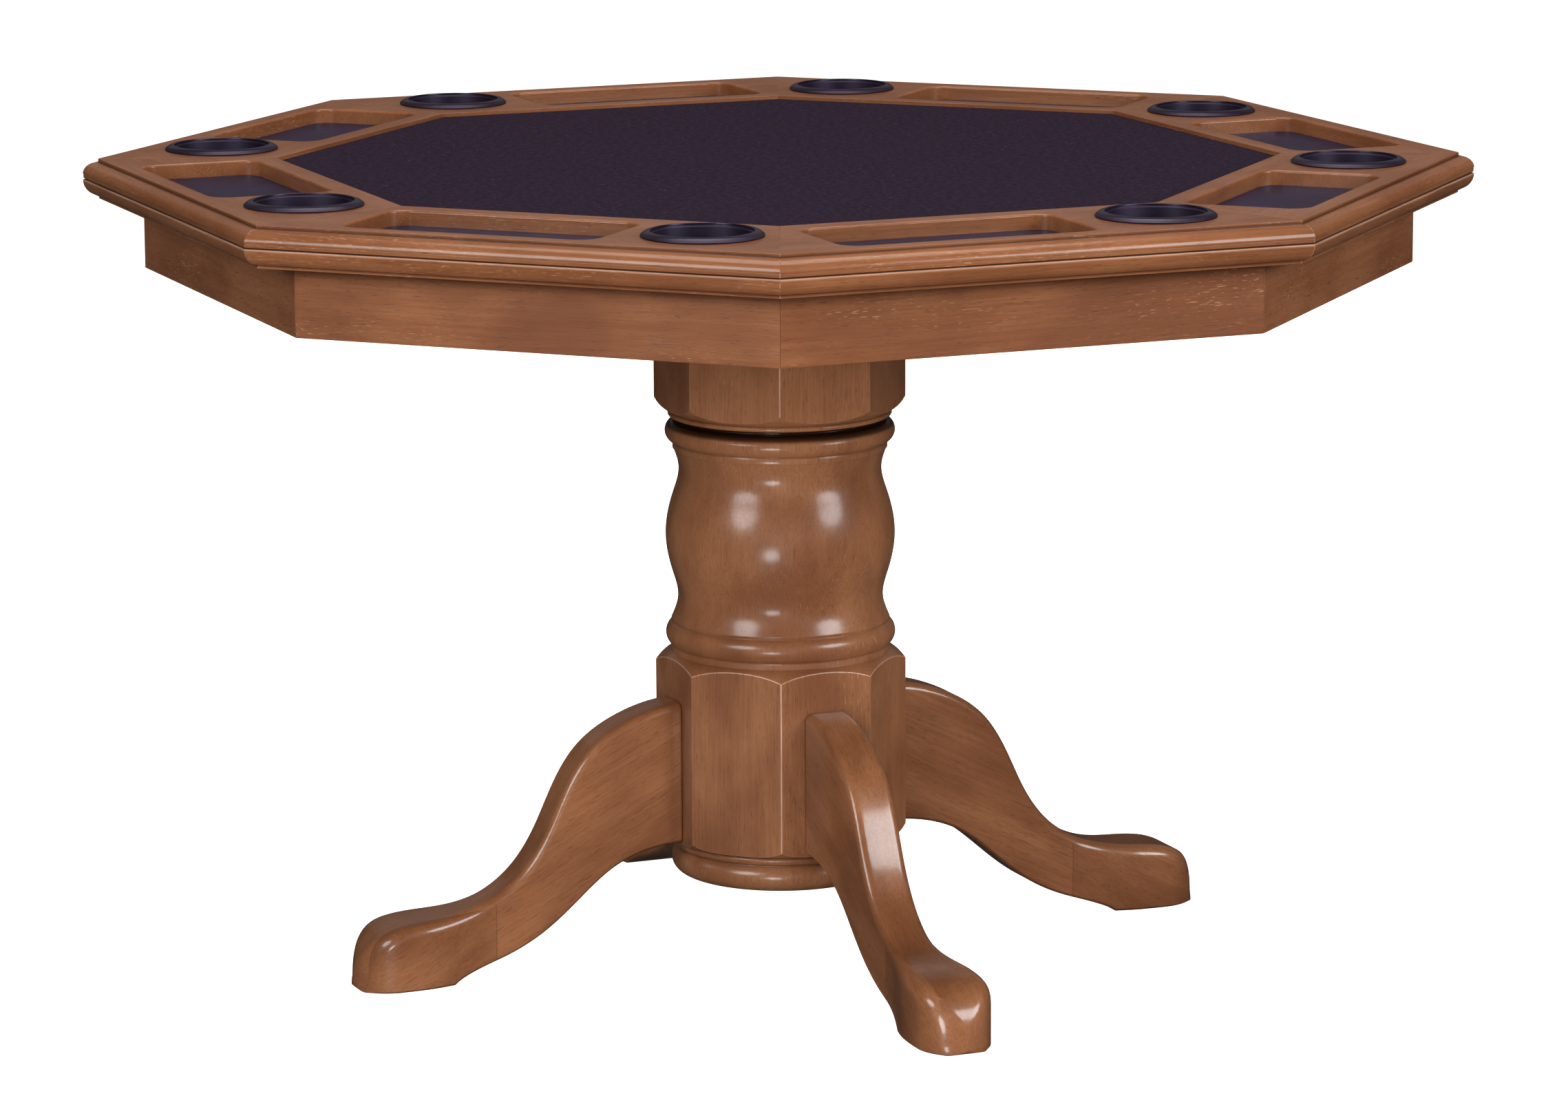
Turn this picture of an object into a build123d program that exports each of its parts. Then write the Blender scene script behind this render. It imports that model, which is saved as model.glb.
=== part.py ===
"""Octagonal pedestal gaming table with a lift-off reversible top and drop-in cups, in millimetres.

The origin is on the floor, midway between the feet, and +Z is up. The faces of the octagon look along X, Y and the
diagonals. A rail is drawn at the +X face, with its outward direction along X and its length along Y, and turned.
"""
from build123d import *
from math import cos, sin, tan, radians, sqrt
import os

SIDES = 8
STEP_ANGLE = 360 / SIDES
HALF_ANGLE = STEP_ANGLE / 2
MITRE = tan(radians(HALF_ANGLE))

# overall
HEIGHT = 768.0
ACROSS_FLATS = 1219.2
LAYER = 19.1
TOP_UNDERSIDE = HEIGHT - 2 * LAYER
TOP_MIDDLE = HEIGHT - LAYER

# moulded edge of each layer: a step, a round and half of the middle groove
EDGE_ROUND = 13.8
EDGE_GROOVE = 2.0
EDGE_STEP = LAYER - EDGE_ROUND - EDGE_GROOVE
EDGE_OUT = ACROSS_FLATS / 2
EDGE_FLAT = EDGE_OUT - EDGE_ROUND

# playing surface
FIELD = 440.0
FIELD_GAP = 0.2
CLOTH = 3.0
CLOTH_RECESS = 3.4
FIELD_BOARD = LAYER - CLOTH_RECESS - CLOTH

# chip tray in each rail
TRAY_IN = 462.0
TRAY_OUT = 577.0
TRAY_START = -178.0
TRAY_END = 64.0
TRAY_CORNER = 18.0
TRAY_DEPTH = 16.0
LINER = 2.0
LINER_GAP = 0.25

# drop-in cup in each rail
CUP_OUT = 518.5
CUP_ALONG = 143.0
CUP_RIM = 54.0
CUP_RIM_EDGE = 1.4
CUP_LIP = 46.4
CUP_LIP_HEIGHT = 5.0
CUP_MOUTH = 45.0
CUP_BODY = 46.0
CUP_FLOOR_RADIUS = 43.2
CUP_DEPTH = 30.0
CUP_FLOOR = 2.0
CUP_STEP = 2.2
CUP_STEP_DROP = 3.0
CUP_HOLE_GAP = 0.6

# glued-in splines of the mitres
SPLINE_LENGTH = 44.0
SPLINE_WIDTH = 20.0
SPLINE_THICK = 4.0
SPLINE_OUT = 572.0

# apron frame
PAD = 2.0
PAD_RADIUS = 8.0
APRON_OUT = 557.0
APRON_THICK = 19.0
APRON_BOTTOM = 663.2
APRON_TOP = TOP_UNDERSIDE - PAD
APRON_IN = APRON_OUT - APRON_THICK
BLOCK_LEG = 70.0
BLOCK_HEIGHT = 50.0
HOUSING = 6.0

# cross beams and the plate on top of the column
BEAM_WIDTH = 70.0
BEAM_HEIGHT = 44.0
BEAM_BOTTOM = APRON_TOP - BEAM_HEIGHT
PLATE = 19.0
PLATE_SIDE = 300.0
PLATE_BOTTOM = BEAM_BOTTOM - PLATE

# column
COLUMN_FLATS = 111.2
COLUMN_BORE = 55.0
COLUMN_FOOT = 74.5
SHOULDER = 121.4

# legs
LEG_THICK = 44.0
FOOT_WIDTH = 72.0
TOE = 439.0
TOE_LENGTH = 40.0
CHEEK_START = 300.0
LEG_TOP = 250.5
LEG_UNDER = 114.5
LEG_ANGLES = (0, 90, 180, 270)

# fasteners
FASTENER_GAP = 0.05
BOLT_RADIUS = 5.0
BOLT_IN_LEG = 45.0
BOLT_HEIGHTS = (150.0, 215.0)
NUT_FACE = 53.8
NUT_THICK = 9.0
NUT_RADIUS = 8.5
FLANGE_RADIUS = 10.5
FLANGE_THICK = 2.0
BOLT_END = NUT_FACE - NUT_THICK - 4.0
SCREW_RADIUS = 2.2
SCREW_HEAD = 4.4
SCREW_HEAD_THICK = 2.6
LAG_RADIUS = 4.0
LAG_LENGTH = 70.0
LAG_HEAD = 7.5
LAG_HEAD_THICK = 5.0
LAG_CIRCLE = 82.0
PLATE_SCREW_LENGTH = 45.0
PLATE_SCREW_SPACING = 110.0
BLOCK_SCREW_LENGTH = 30.0


def octagon(apothem, bottom, top):
    """Octagonal prism with its faces square to X, Y and the diagonals."""
    outline = RegularPolygon(apothem, SIDES, major_radius=False, rotation=HALF_ANGLE)
    return Pos(0, 0, bottom) * extrude(outline, top - bottom)


def box(x0, x1, y0, y1, z0, z1):
    """Box between two corners."""
    return Pos((x0 + x1) / 2, (y0 + y1) / 2, (z0 + z1) / 2) * Box(x1 - x0, y1 - y0, z1 - z0)


def rod(radius, start, direction, length):
    """Cylinder from a start point along a direction."""
    return Plane(origin=start, z_dir=direction) * extrude(Circle(radius), length)


def side_profile(edges):
    """Face in the XZ plane from edges drawn with X across and Y up."""
    return Plane.XZ * make_face(edges)


def turned(edges):
    """Solid of revolution about Z from edges drawn as radius and height."""
    return revolve(side_profile(edges), Axis.Z)


def about_z(part, angle):
    return Rot(0, 0, angle) * part


def mitred(profile):
    """Length of edge moulding cut to the wedge of one side, from its cross-section."""
    reach = EDGE_OUT + 20
    bar = extrude(profile, reach * MITRE, both=True)
    wedge_outline = Polyline((0, 0), (reach, -reach * MITRE), (reach, reach * MITRE), (0, 0))
    wedge = extrude(make_face(wedge_outline), HEIGHT + 10)
    return bar & wedge


def rail_profile(upper):
    """Cross-section of a rail: flat face, step, quarter round and half of the middle groove."""
    face = HEIGHT if upper else TOP_UNDERSIDE
    away = -1 if upper else 1
    step = face + away * EDGE_STEP
    bead = step + away * EDGE_ROUND
    middle = TOP_MIDDLE
    bulge = EDGE_ROUND / sqrt(2)
    edges = [
        Line((FIELD, middle), (FIELD, face)),
        Line((FIELD, face), (EDGE_FLAT, face)),
        Line((EDGE_FLAT, face), (EDGE_FLAT, step)),
        ThreePointArc(
            (EDGE_FLAT, step), (EDGE_FLAT + bulge, bead - away * bulge), (EDGE_OUT, bead)
        ),
        Line((EDGE_OUT, bead), (EDGE_OUT - EDGE_GROOVE, middle)),
        Line((EDGE_OUT - EDGE_GROOVE, middle), (FIELD, middle)),
    ]
    return side_profile(edges)


def spline_key(height):
    """Flat key across the mitre at the counter-clockwise end of a rail, drawn at the +X side."""
    key = Box(SPLINE_LENGTH, SPLINE_WIDTH, SPLINE_THICK)
    reach = SPLINE_OUT / cos(radians(HALF_ANGLE))
    return about_z(Pos(reach, 0, height) * key, HALF_ANGLE)


def rail_keys(height):
    """The keys at both ends of the rail."""
    key = spline_key(height)
    return [key, about_z(key, -STEP_ANGLE)]


def tray_outline(gap):
    """Rounded rectangle of the chip tray, smaller all round by a gap."""
    width = TRAY_OUT - TRAY_IN - 2 * gap
    length = TRAY_END - TRAY_START - 2 * gap
    outline = RectangleRounded(width, length, TRAY_CORNER - gap)
    return Pos((TRAY_IN + TRAY_OUT) / 2, (TRAY_START + TRAY_END) / 2) * outline


def cup_pocket():
    """Clearance for the cup's body."""
    bottom = HEIGHT - CUP_DEPTH - CUP_HOLE_GAP
    return rod(CUP_BODY + CUP_HOLE_GAP, (CUP_OUT, CUP_ALONG, bottom), (0, 0, 1), CUP_DEPTH + 10)


def upper_rail():
    rail = mitred(rail_profile(True))
    tray = extrude(Pos(0, 0, HEIGHT - TRAY_DEPTH) * tray_outline(0), TRAY_DEPTH + 10)
    rail = rail - tray - cup_pocket()
    for key in rail_keys(TOP_MIDDLE + LAYER / 2):
        rail = rail - key
    return rail


def lower_rail():
    rail = mitred(rail_profile(False)) - cup_pocket()
    for key in rail_keys(TOP_MIDDLE - LAYER / 2):
        rail = rail - key
    return rail


def tray_liner():
    return extrude(Pos(0, 0, HEIGHT - TRAY_DEPTH) * tray_outline(LINER_GAP), LINER)


def cup():
    """Drop-in cup: a sloping rim that rests on the rail, a raised lip, an inner step and a plain body."""
    rim_edge = HEIGHT + CUP_RIM_EDGE
    lip = HEIGHT + CUP_LIP_HEIGHT
    step = lip - CUP_STEP_DROP
    floor = HEIGHT - CUP_DEPTH + CUP_FLOOR
    base = HEIGHT - CUP_DEPTH
    inner = CUP_MOUTH - CUP_STEP / 2
    edges = [
        Line((0, base), (CUP_FLOOR_RADIUS + CUP_FLOOR, base)),
        Line((CUP_FLOOR_RADIUS + CUP_FLOOR, base), (CUP_BODY, HEIGHT)),
        Line((CUP_BODY, HEIGHT), (CUP_RIM, HEIGHT)),
        Line((CUP_RIM, HEIGHT), (CUP_RIM, rim_edge)),
        ThreePointArc((CUP_RIM, rim_edge), (CUP_RIM - 3.2, lip - 1.3), (CUP_LIP, lip)),
        Line((CUP_LIP, lip), (CUP_MOUTH, lip - 0.6)),
        Line((CUP_MOUTH, lip - 0.6), (CUP_MOUTH, step)),
        Line((CUP_MOUTH, step), (inner, step)),
        Line((inner, step), (CUP_FLOOR_RADIUS, floor)),
        Line((CUP_FLOOR_RADIUS, floor), (0, floor)),
        Line((0, floor), (0, base)),
    ]
    return Pos(CUP_OUT, CUP_ALONG, 0) * turned(edges)


def mitre_splines():
    """All the keys of both layers."""
    keys = []
    for height in (TOP_MIDDLE - LAYER / 2, TOP_MIDDLE + LAYER / 2):
        key = spline_key(height)
        keys += [about_z(key, STEP_ANGLE * n) for n in range(SIDES)]
    return Compound(children=keys)


def playfield_board():
    return octagon(FIELD - FIELD_GAP, TOP_MIDDLE, TOP_MIDDLE + FIELD_BOARD)


def playfield_cloth():
    bottom = TOP_MIDDLE + FIELD_BOARD
    return octagon(FIELD - FIELD_GAP, bottom, bottom + CLOTH)


def dining_panel():
    return octagon(FIELD - FIELD_GAP, TOP_UNDERSIDE, TOP_MIDDLE)


def apron_board(housed):
    """One mitred side of the apron frame; those at the ends of a beam have a shallow housing for it."""
    outline = Polyline(
        (APRON_IN, -APRON_IN * MITRE),
        (APRON_OUT, -APRON_OUT * MITRE),
        (APRON_OUT, APRON_OUT * MITRE),
        (APRON_IN, APRON_IN * MITRE),
        (APRON_IN, -APRON_IN * MITRE),
    )
    board = Pos(0, 0, APRON_BOTTOM) * extrude(make_face(outline), APRON_TOP - APRON_BOTTOM)
    if housed:
        half = BEAM_WIDTH / 2
        board = board - box(APRON_IN - 1, APRON_IN + HOUSING, -half, half, BEAM_BOTTOM, APRON_TOP + 1)
    for angle in (-HALF_ANGLE, HALF_ANGLE):
        for screw_hole in block_screw_pair(FASTENER_GAP):
            board = board - about_z(screw_hole, angle)
    return board


def block_middle():
    return (APRON_TOP + APRON_BOTTOM) / 2


def corner_block():
    """Block glued into the corner of the apron frame, drawn with the corner on +X."""
    corner = APRON_IN / cos(radians(HALF_ANGLE))
    back_x = corner - BLOCK_LEG * sin(radians(HALF_ANGLE))
    back_y = BLOCK_LEG * cos(radians(HALF_ANGLE))
    cut = 30.0
    outline = Polyline(
        (corner, 0), (back_x, back_y), (back_x - cut, back_y), (back_x - cut, -back_y), (back_x, -back_y), (corner, 0)
    )
    low = block_middle() - BLOCK_HEIGHT / 2
    block = Pos(0, 0, low) * extrude(make_face(outline), BLOCK_HEIGHT)
    for screw_hole in block_screw_pair(FASTENER_GAP):
        block = block - screw_hole
    return block


def screw(radius, head, head_thick, length, start, direction, gap):
    """Screw with a cylindrical head, from the top of its head; with a gap it is the hole for it."""
    shank = rod(radius + gap, start, direction, length + gap)
    return shank + rod(head + gap, start, direction, head_thick)


def block_screw_pair(gap):
    """The screws of one corner block, square to the two aprons, drawn with the corner on +X."""
    screws = []
    for side in (-1, 1):
        normal = radians(side * HALF_ANGLE)
        direction = (cos(normal), sin(normal), 0)
        along = (-sin(normal), cos(normal), 0)
        corner_along = -side * APRON_IN * MITRE
        reach = APRON_IN - (BLOCK_SCREW_LENGTH - APRON_THICK * 0.7)
        shift = corner_along + side * 45.0
        start = [reach * d + shift * a for d, a in zip(direction, along)]
        start = (start[0], start[1], block_middle())
        screws.append(
            screw(SCREW_RADIUS, SCREW_HEAD, SCREW_HEAD_THICK, BLOCK_SCREW_LENGTH, start, direction, gap)
        )
    return screws


def corner_blocks():
    block = corner_block()
    return Compound(children=[about_z(block, HALF_ANGLE + STEP_ANGLE * n) for n in range(SIDES)])


def corner_block_screws():
    screws = []
    for n in range(SIDES):
        screws += [about_z(one, HALF_ANGLE + STEP_ANGLE * n) for one in block_screw_pair(0)]
    return Compound(children=screws)


def beam(lap_low):
    """Cross beam along X, halved at its middle over or under the other beam."""
    half = BEAM_WIDTH / 2
    end = APRON_IN + HOUSING
    middle = BEAM_BOTTOM + BEAM_HEIGHT / 2
    whole = box(-end, end, -half, half, BEAM_BOTTOM, APRON_TOP)
    if lap_low:
        return whole - box(-half, half, -half - 1, half + 1, BEAM_BOTTOM - 1, middle)
    return whole - box(-half, half, -half - 1, half + 1, middle, APRON_TOP + 1)


def plate_screws(gap):
    """Screws driven up through the plate into both beams."""
    screws = []
    for n in range(4):
        start = (PLATE_SCREW_SPACING, 0, PLATE_BOTTOM)
        one = screw(SCREW_RADIUS, SCREW_HEAD, SCREW_HEAD_THICK, PLATE_SCREW_LENGTH, start, (0, 0, 1), gap)
        for across in (-20.0, 20.0):
            screws.append(about_z(Pos(20, across, 0) * one, 90 * n))
    return screws


def lag_screws(gap):
    """Lag screws down through the plate into the end grain of the column, their heads let into the plate."""
    screws = []
    for n in range(4):
        start = (LAG_CIRCLE, 0, PLATE_BOTTOM + PLATE)
        one = screw(LAG_RADIUS, LAG_HEAD, LAG_HEAD_THICK, LAG_LENGTH, start, (0, 0, -1), gap)
        screws.append(about_z(one, 45 + 90 * n))
    return screws


def cut_all(part, tools):
    for tool in tools:
        part = part - tool
    return part


def mounting_plate():
    half = PLATE_SIDE / 2
    plate = box(-half, half, -half, half, PLATE_BOTTOM, PLATE_BOTTOM + PLATE)
    return cut_all(plate, plate_screws(FASTENER_GAP) + lag_screws(FASTENER_GAP))


def column():
    """Hollow turned column with an octagonal block above and below, turned from an octagonal blank."""
    top = PLATE_BOTTOM
    edges = [
        Line((COLUMN_BORE, top), (SHOULDER, top)),
        Line((SHOULDER, top), (SHOULDER, 539.0)),
        ThreePointArc((SHOULDER, 539.0), (117.6, 532.0), (111.4, 527.0)),
        ThreePointArc((111.4, 527.0), (107.4, 523.2), (102.0, 518.2)),
        Line((102.0, 518.2), (98.5, 517.4)),
        Line((98.5, 517.4), (100.4, 516.2)),
        ThreePointArc((100.4, 516.2), (110.2, 505.8), (102.6, 494.6)),
        Line((102.6, 494.6), (101.8, 494.0)),
        Line((101.8, 494.0), (102.9, 493.2)),
        Line((102.9, 493.2), (102.9, 488.8)),
        Line((102.9, 488.8), (101.9, 488.0)),
        Spline(
            (101.9, 488.0), (97.2, 470.0), (103.2, 443.0), (110.0, 405.5), (104.2, 370.5), (98.5, 343.0), (105.0, 322.0)
        ),
        Line((105.0, 322.0), (103.4, 320.6)),
        ThreePointArc((103.4, 320.6), (110.3, 308.8), (104.0, 297.2)),
        Line((104.0, 297.2), (104.9, 296.0)),
        Line((104.9, 296.0), (104.9, 291.8)),
        ThreePointArc((104.9, 291.8), (112.6, 287.6), (SHOULDER, 279.6)),
        Line((SHOULDER, 279.6), (SHOULDER, 119.0)),
        ThreePointArc((SHOULDER, 119.0), (116.4, 112.8), (106.5, 109.6)),
        Line((106.5, 109.6), (102.6, 108.8)),
        ThreePointArc((102.6, 108.8), (105.2, 104.6), (101.0, 100.6)),
        Line((101.0, 100.6), (99.4, 99.6)),
        ThreePointArc((99.4, 99.6), (106.4, 88.0), (97.0, COLUMN_FOOT)),
        Line((97.0, COLUMN_FOOT), (COLUMN_BORE, COLUMN_FOOT)),
        Line((COLUMN_BORE, COLUMN_FOOT), (COLUMN_BORE, top)),
    ]
    body = turned(edges) & octagon(COLUMN_FLATS, COLUMN_FOOT - 1, top + 1)
    holes = lag_screws(FASTENER_GAP)
    for angle in LEG_ANGLES:
        holes += [about_z(hole, angle) for hole in leg_bolt_pair(FASTENER_GAP)]
    return cut_all(body, holes)


def leg_side():
    """Side view of a leg along +X: a flat back, an ogee top edge, a blunt toe and a hollowed underside."""
    edges = [
        Line((COLUMN_FLATS, LEG_UNDER), (COLUMN_FLATS, LEG_TOP)),
        Spline(
            (COLUMN_FLATS, LEG_TOP),
            (160.0, 239.6),
            (206.0, 211.0),
            (232.5, 171.0),
            (250.5, 133.5),
            (277.5, 97.0),
            (315.0, 74.0),
            (360.0, 65.0),
            (395.0, 61.5),
            tangents=((1, -0.04), (1, -0.12)),
        ),
        Spline((395.0, 61.5), (421.0, 51.0), (434.5, 31.0), (TOE, 6.0), tangents=((1, -0.12), (0.06, -1))),
        ThreePointArc((TOE, 6.0), (TOE - 1.8, 1.8), (TOE - 6.0, 0)),
        Line((TOE - 6.0, 0), (346.0, 0)),
        Spline(
            (346.0, 0),
            (331.0, 7.5),
            (295.0, 19.5),
            (254.0, 39.5),
            (213.0, 72.0),
            (180.0, 97.0),
            (152.0, 108.5),
            (COLUMN_FLATS, LEG_UNDER),
            tangents=((-1, 0.75), (-1, 0.04)),
        ),
    ]
    return side_profile(edges)


def leg_plan():
    """Plan view of a leg: parallel sides that flare into a rounded foot."""
    half = LEG_THICK / 2
    wide = FOOT_WIDTH / 2
    heel = TOE - TOE_LENGTH
    flare = [
        (CHEEK_START, half),
        (CHEEK_START + 35, half + 5),
        (CHEEK_START + 68, wide - 1.5),
        (heel, wide),
    ]
    mirrored = [(x, -y) for x, y in flare]
    edges = [
        Line((COLUMN_FLATS, -half), (COLUMN_FLATS, half)),
        Line((COLUMN_FLATS, half), flare[0]),
        Spline(*flare, tangents=((1, 0), (1, 0))),
        EllipticalCenterArc((heel, 0), TOE_LENGTH, wide, start_angle=-90, arc_size=180),
        Spline(*mirrored, tangents=((1, 0), (1, 0))),
        Line((COLUMN_FLATS, -half), mirrored[0]),
    ]
    return make_face(edges)


def leg():
    body = extrude(leg_side(), FOOT_WIDTH, both=True) & extrude(leg_plan(), HEIGHT / 2)
    return cut_all(body, leg_bolt_pair(FASTENER_GAP))


def leg_bolt_pair(gap):
    """Studs of one leg on +X, from inside the column to inside the leg; with a gap they are their holes."""
    length = COLUMN_FLATS + BOLT_IN_LEG - BOLT_END + gap
    return [rod(BOLT_RADIUS + gap, (BOLT_END, 0, height), (1, 0, 0), length) for height in BOLT_HEIGHTS]


def leg_nut_pair():
    """Hexagonal flange nuts of one leg on +X, drawn up against the wall of the column's bore."""
    nuts = []
    for height in BOLT_HEIGHTS:
        face = Plane(origin=(NUT_FACE, 0, height), z_dir=(-1, 0, 0))
        flange = face * extrude(Circle(FLANGE_RADIUS), FLANGE_THICK)
        hexagon = face * extrude(RegularPolygon(NUT_RADIUS, 6, major_radius=False), NUT_THICK)
        hole = face * extrude(Circle(BOLT_RADIUS + FASTENER_GAP), NUT_THICK)
        nuts.append(flange + hexagon - hole)
    return nuts


def at_each_leg(pair):
    return Compound(children=[about_z(one, angle) for angle in LEG_ANGLES for one in pair])


def rest_pads():
    """Rubber discs on top of the apron, one at the middle of each side."""
    middle = (APRON_IN + APRON_OUT) / 2
    pad = rod(PAD_RADIUS, (middle, 0, APRON_TOP), (0, 0, 1), PAD)
    return Compound(children=[about_z(pad, STEP_ANGLE * n) for n in range(SIDES)])


def save(part, name):
    export_step(part, os.path.join("parts", name + ".step"))


def save_round(part, name):
    """Write one copy for each side of the octagon."""
    for n in range(SIDES):
        save(about_z(part, STEP_ANGLE * n), f"{name}_{n + 1}")


def main():
    os.makedirs("parts", exist_ok=True)
    save_round(upper_rail(), "upper_rail")
    save_round(lower_rail(), "lower_rail")
    save_round(tray_liner(), "tray_liner")
    save_round(cup(), "cup")
    save(mitre_splines(), "mitre_splines")
    save(playfield_board(), "playfield_board")
    save(playfield_cloth(), "playfield_cloth")
    save(dining_panel(), "dining_panel")
    housed = apron_board(True)
    plain = apron_board(False)
    for n in range(SIDES):
        save(about_z(plain if n % 2 else housed, STEP_ANGLE * n), f"apron_{n + 1}")
    save(corner_blocks(), "corner_blocks")
    save(corner_block_screws(), "corner_block_screws")
    save(cut_all(beam(False), plate_screws(FASTENER_GAP)), "beam_lower")
    save(cut_all(about_z(beam(True), 90), plate_screws(FASTENER_GAP)), "beam_upper")
    save(mounting_plate(), "mounting_plate")
    save(Compound(children=plate_screws(0)), "plate_screws")
    save(Compound(children=lag_screws(0)), "lag_screws")
    save(column(), "column")
    one_leg = leg()
    for number, angle in enumerate(LEG_ANGLES, 1):
        save(about_z(one_leg, angle), f"leg_{number}")
    save(at_each_leg(leg_bolt_pair(0)), "leg_bolts")
    save(at_each_leg(leg_nut_pair()), "leg_nuts")
    save(rest_pads(), "rest_pads")


main()
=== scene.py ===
"""Looks of an octagonal gaming table: turned and carved stained wood, a felt field, chip trays and drop-in
cups.

Everything is in metres in the frame's own axes. The faces of the octagon look along X, Y and the diagonals;
a rail, an apron board, a tray liner or a cup is worked out at the +X face and turned to its own side.
"""
import math

import bmesh
import bpy
import numpy as np
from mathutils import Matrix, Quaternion, Vector


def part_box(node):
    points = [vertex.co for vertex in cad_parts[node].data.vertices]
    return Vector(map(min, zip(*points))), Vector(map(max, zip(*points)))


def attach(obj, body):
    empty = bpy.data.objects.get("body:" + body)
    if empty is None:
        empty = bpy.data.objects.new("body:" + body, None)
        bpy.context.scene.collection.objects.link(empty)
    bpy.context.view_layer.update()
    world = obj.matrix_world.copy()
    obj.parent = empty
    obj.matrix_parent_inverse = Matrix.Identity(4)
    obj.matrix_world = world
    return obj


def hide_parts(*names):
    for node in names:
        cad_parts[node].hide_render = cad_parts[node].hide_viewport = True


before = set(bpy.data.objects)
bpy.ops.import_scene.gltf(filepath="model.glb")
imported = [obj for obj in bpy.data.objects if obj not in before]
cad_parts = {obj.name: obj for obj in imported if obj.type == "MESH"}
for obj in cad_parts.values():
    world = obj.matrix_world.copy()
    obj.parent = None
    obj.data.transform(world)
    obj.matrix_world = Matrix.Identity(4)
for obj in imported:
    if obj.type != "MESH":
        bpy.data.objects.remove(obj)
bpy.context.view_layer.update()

MM = 0.001
SIDES = 8
SECTOR = 2 * math.pi / SIDES
MITRE = math.tan(SECTOR / 2)

# the top, from the frame
RAIL_LOW, RAIL_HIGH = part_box("upper_rail_1")
TOP = RAIL_HIGH.z
MIDDLE = RAIL_LOW.z
LAYER = TOP - MIDDLE
FIELD = RAIL_LOW.x
EDGE_OUT = RAIL_HIGH.x
EDGE_ROUND = 13.8 * MM
EDGE_STEP = 3.3 * MM
EDGE_GROOVE = LAYER - EDGE_ROUND - EDGE_STEP
EDGE_FLAT = EDGE_OUT - EDGE_ROUND

# chip tray and cup hole
LINER_LOW, LINER_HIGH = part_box("tray_liner_1")
LINER_GAP = 0.25 * MM
TRAY_FLOOR = LINER_LOW.z
TRAY_CORNER = 18 * MM
TRAY_LIP = 2.4 * MM
CUP_LOW, CUP_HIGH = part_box("cup_1")
CUP_PLACE = (CUP_LOW + CUP_HIGH) / 2
HOLE = 46.6 * MM
POCKET_DEPTH = MIDDLE - CUP_LOW.z + 0.6 * MM
PARTING = 80 * MM  # the line between the tray's part of a rail and the cup's part

ARRIS = 0.4 * MM  # how far the rails' sharp edges are eased
APRON_ARRIS = 0.8 * MM


# ---------------------------------------------------------------- curves

def arc_through(first, middle, last, count):
    """Circular arc through three points of a plane, as points evenly spaced in angle about its centre."""
    a, b, c = (np.array(p, float) for p in (first, middle, last))
    centre = np.linalg.solve(2 * np.array([b - a, c - a]), [b @ b - a @ a, c @ c - a @ a])
    angles = [math.atan2(*(p - centre)[::-1]) for p in (a, b, c)]
    to_middle, to_last = ((angle - angles[0]) % (2 * math.pi) for angle in angles[1:])
    turn = to_last if to_middle < to_last else to_last - 2 * math.pi
    angle = angles[0] + np.linspace(0, turn, count)
    return centre + np.linalg.norm(a - centre) * np.stack([np.cos(angle), np.sin(angle)], 1)


def smooth_curve(points, at, start=None, end=None):
    """Curve of continuous curvature through points, read at fractional point numbers.

    It is a cubic in the chord length between each two points. Its slopes come from the linear system that
    makes the second derivatives agree at every inner point, with the given unit directions, or no bending,
    at its ends.
    """
    points = np.array(points, float)
    chord = np.linalg.norm(np.diff(points, axis=0), axis=1)
    pitch = np.diff(points, axis=0) / chord[:, None]
    last = len(points) - 1
    inner = np.arange(1, last)
    system, right = np.zeros((last + 1, last + 1)), np.zeros_like(points)
    system[inner, inner - 1] = chord[1:]
    system[inner, inner] = 2 * (chord[1:] + chord[:-1])
    system[inner, inner + 1] = chord[:-1]
    right[inner] = 3 * (chord[1:, None] * pitch[:-1] + chord[:-1, None] * pitch[1:])
    for row, neighbour, direction, edge in ((0, 1, start, pitch[0]), (last, last - 1, end, pitch[-1])):
        if direction is None:
            system[row, [row, neighbour]] = 2, 1
            right[row] = 3 * edge
        else:
            system[row, row] = 1
            right[row] = np.array(direction, float) / np.linalg.norm(direction)
    slope = np.linalg.solve(system, right)
    span = np.clip(np.floor(at).astype(int), 0, last - 1)
    t = (at - span)[:, None]
    step = chord[span][:, None]
    return (
        (2 * t**3 - 3 * t**2 + 1) * points[span]
        + (3 * t**2 - 2 * t**3) * points[span + 1]
        + step * ((t**3 - 2 * t**2 + t) * slope[span] + (t**3 - t**2) * slope[span + 1])
    )


def between(a, b, count):
    """Points evenly spaced on the straight line from a to b."""
    return np.array(a, float) + np.linspace(0, 1, count)[:, None] * (np.array(b, float) - np.array(a, float))


def joined(*runs):
    """Runs of points end to end, with each shared end kept once."""
    return np.concatenate([runs[0]] + [run[1:] for run in runs[1:]])


def closed_loop(corners, count):
    """Closed outline through corners, with count steps on each side, starting at the first corner."""
    return np.concatenate([between(a, b, count + 1)[:-1] for a, b in zip(corners, corners[1:] + corners[:1])])


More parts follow.
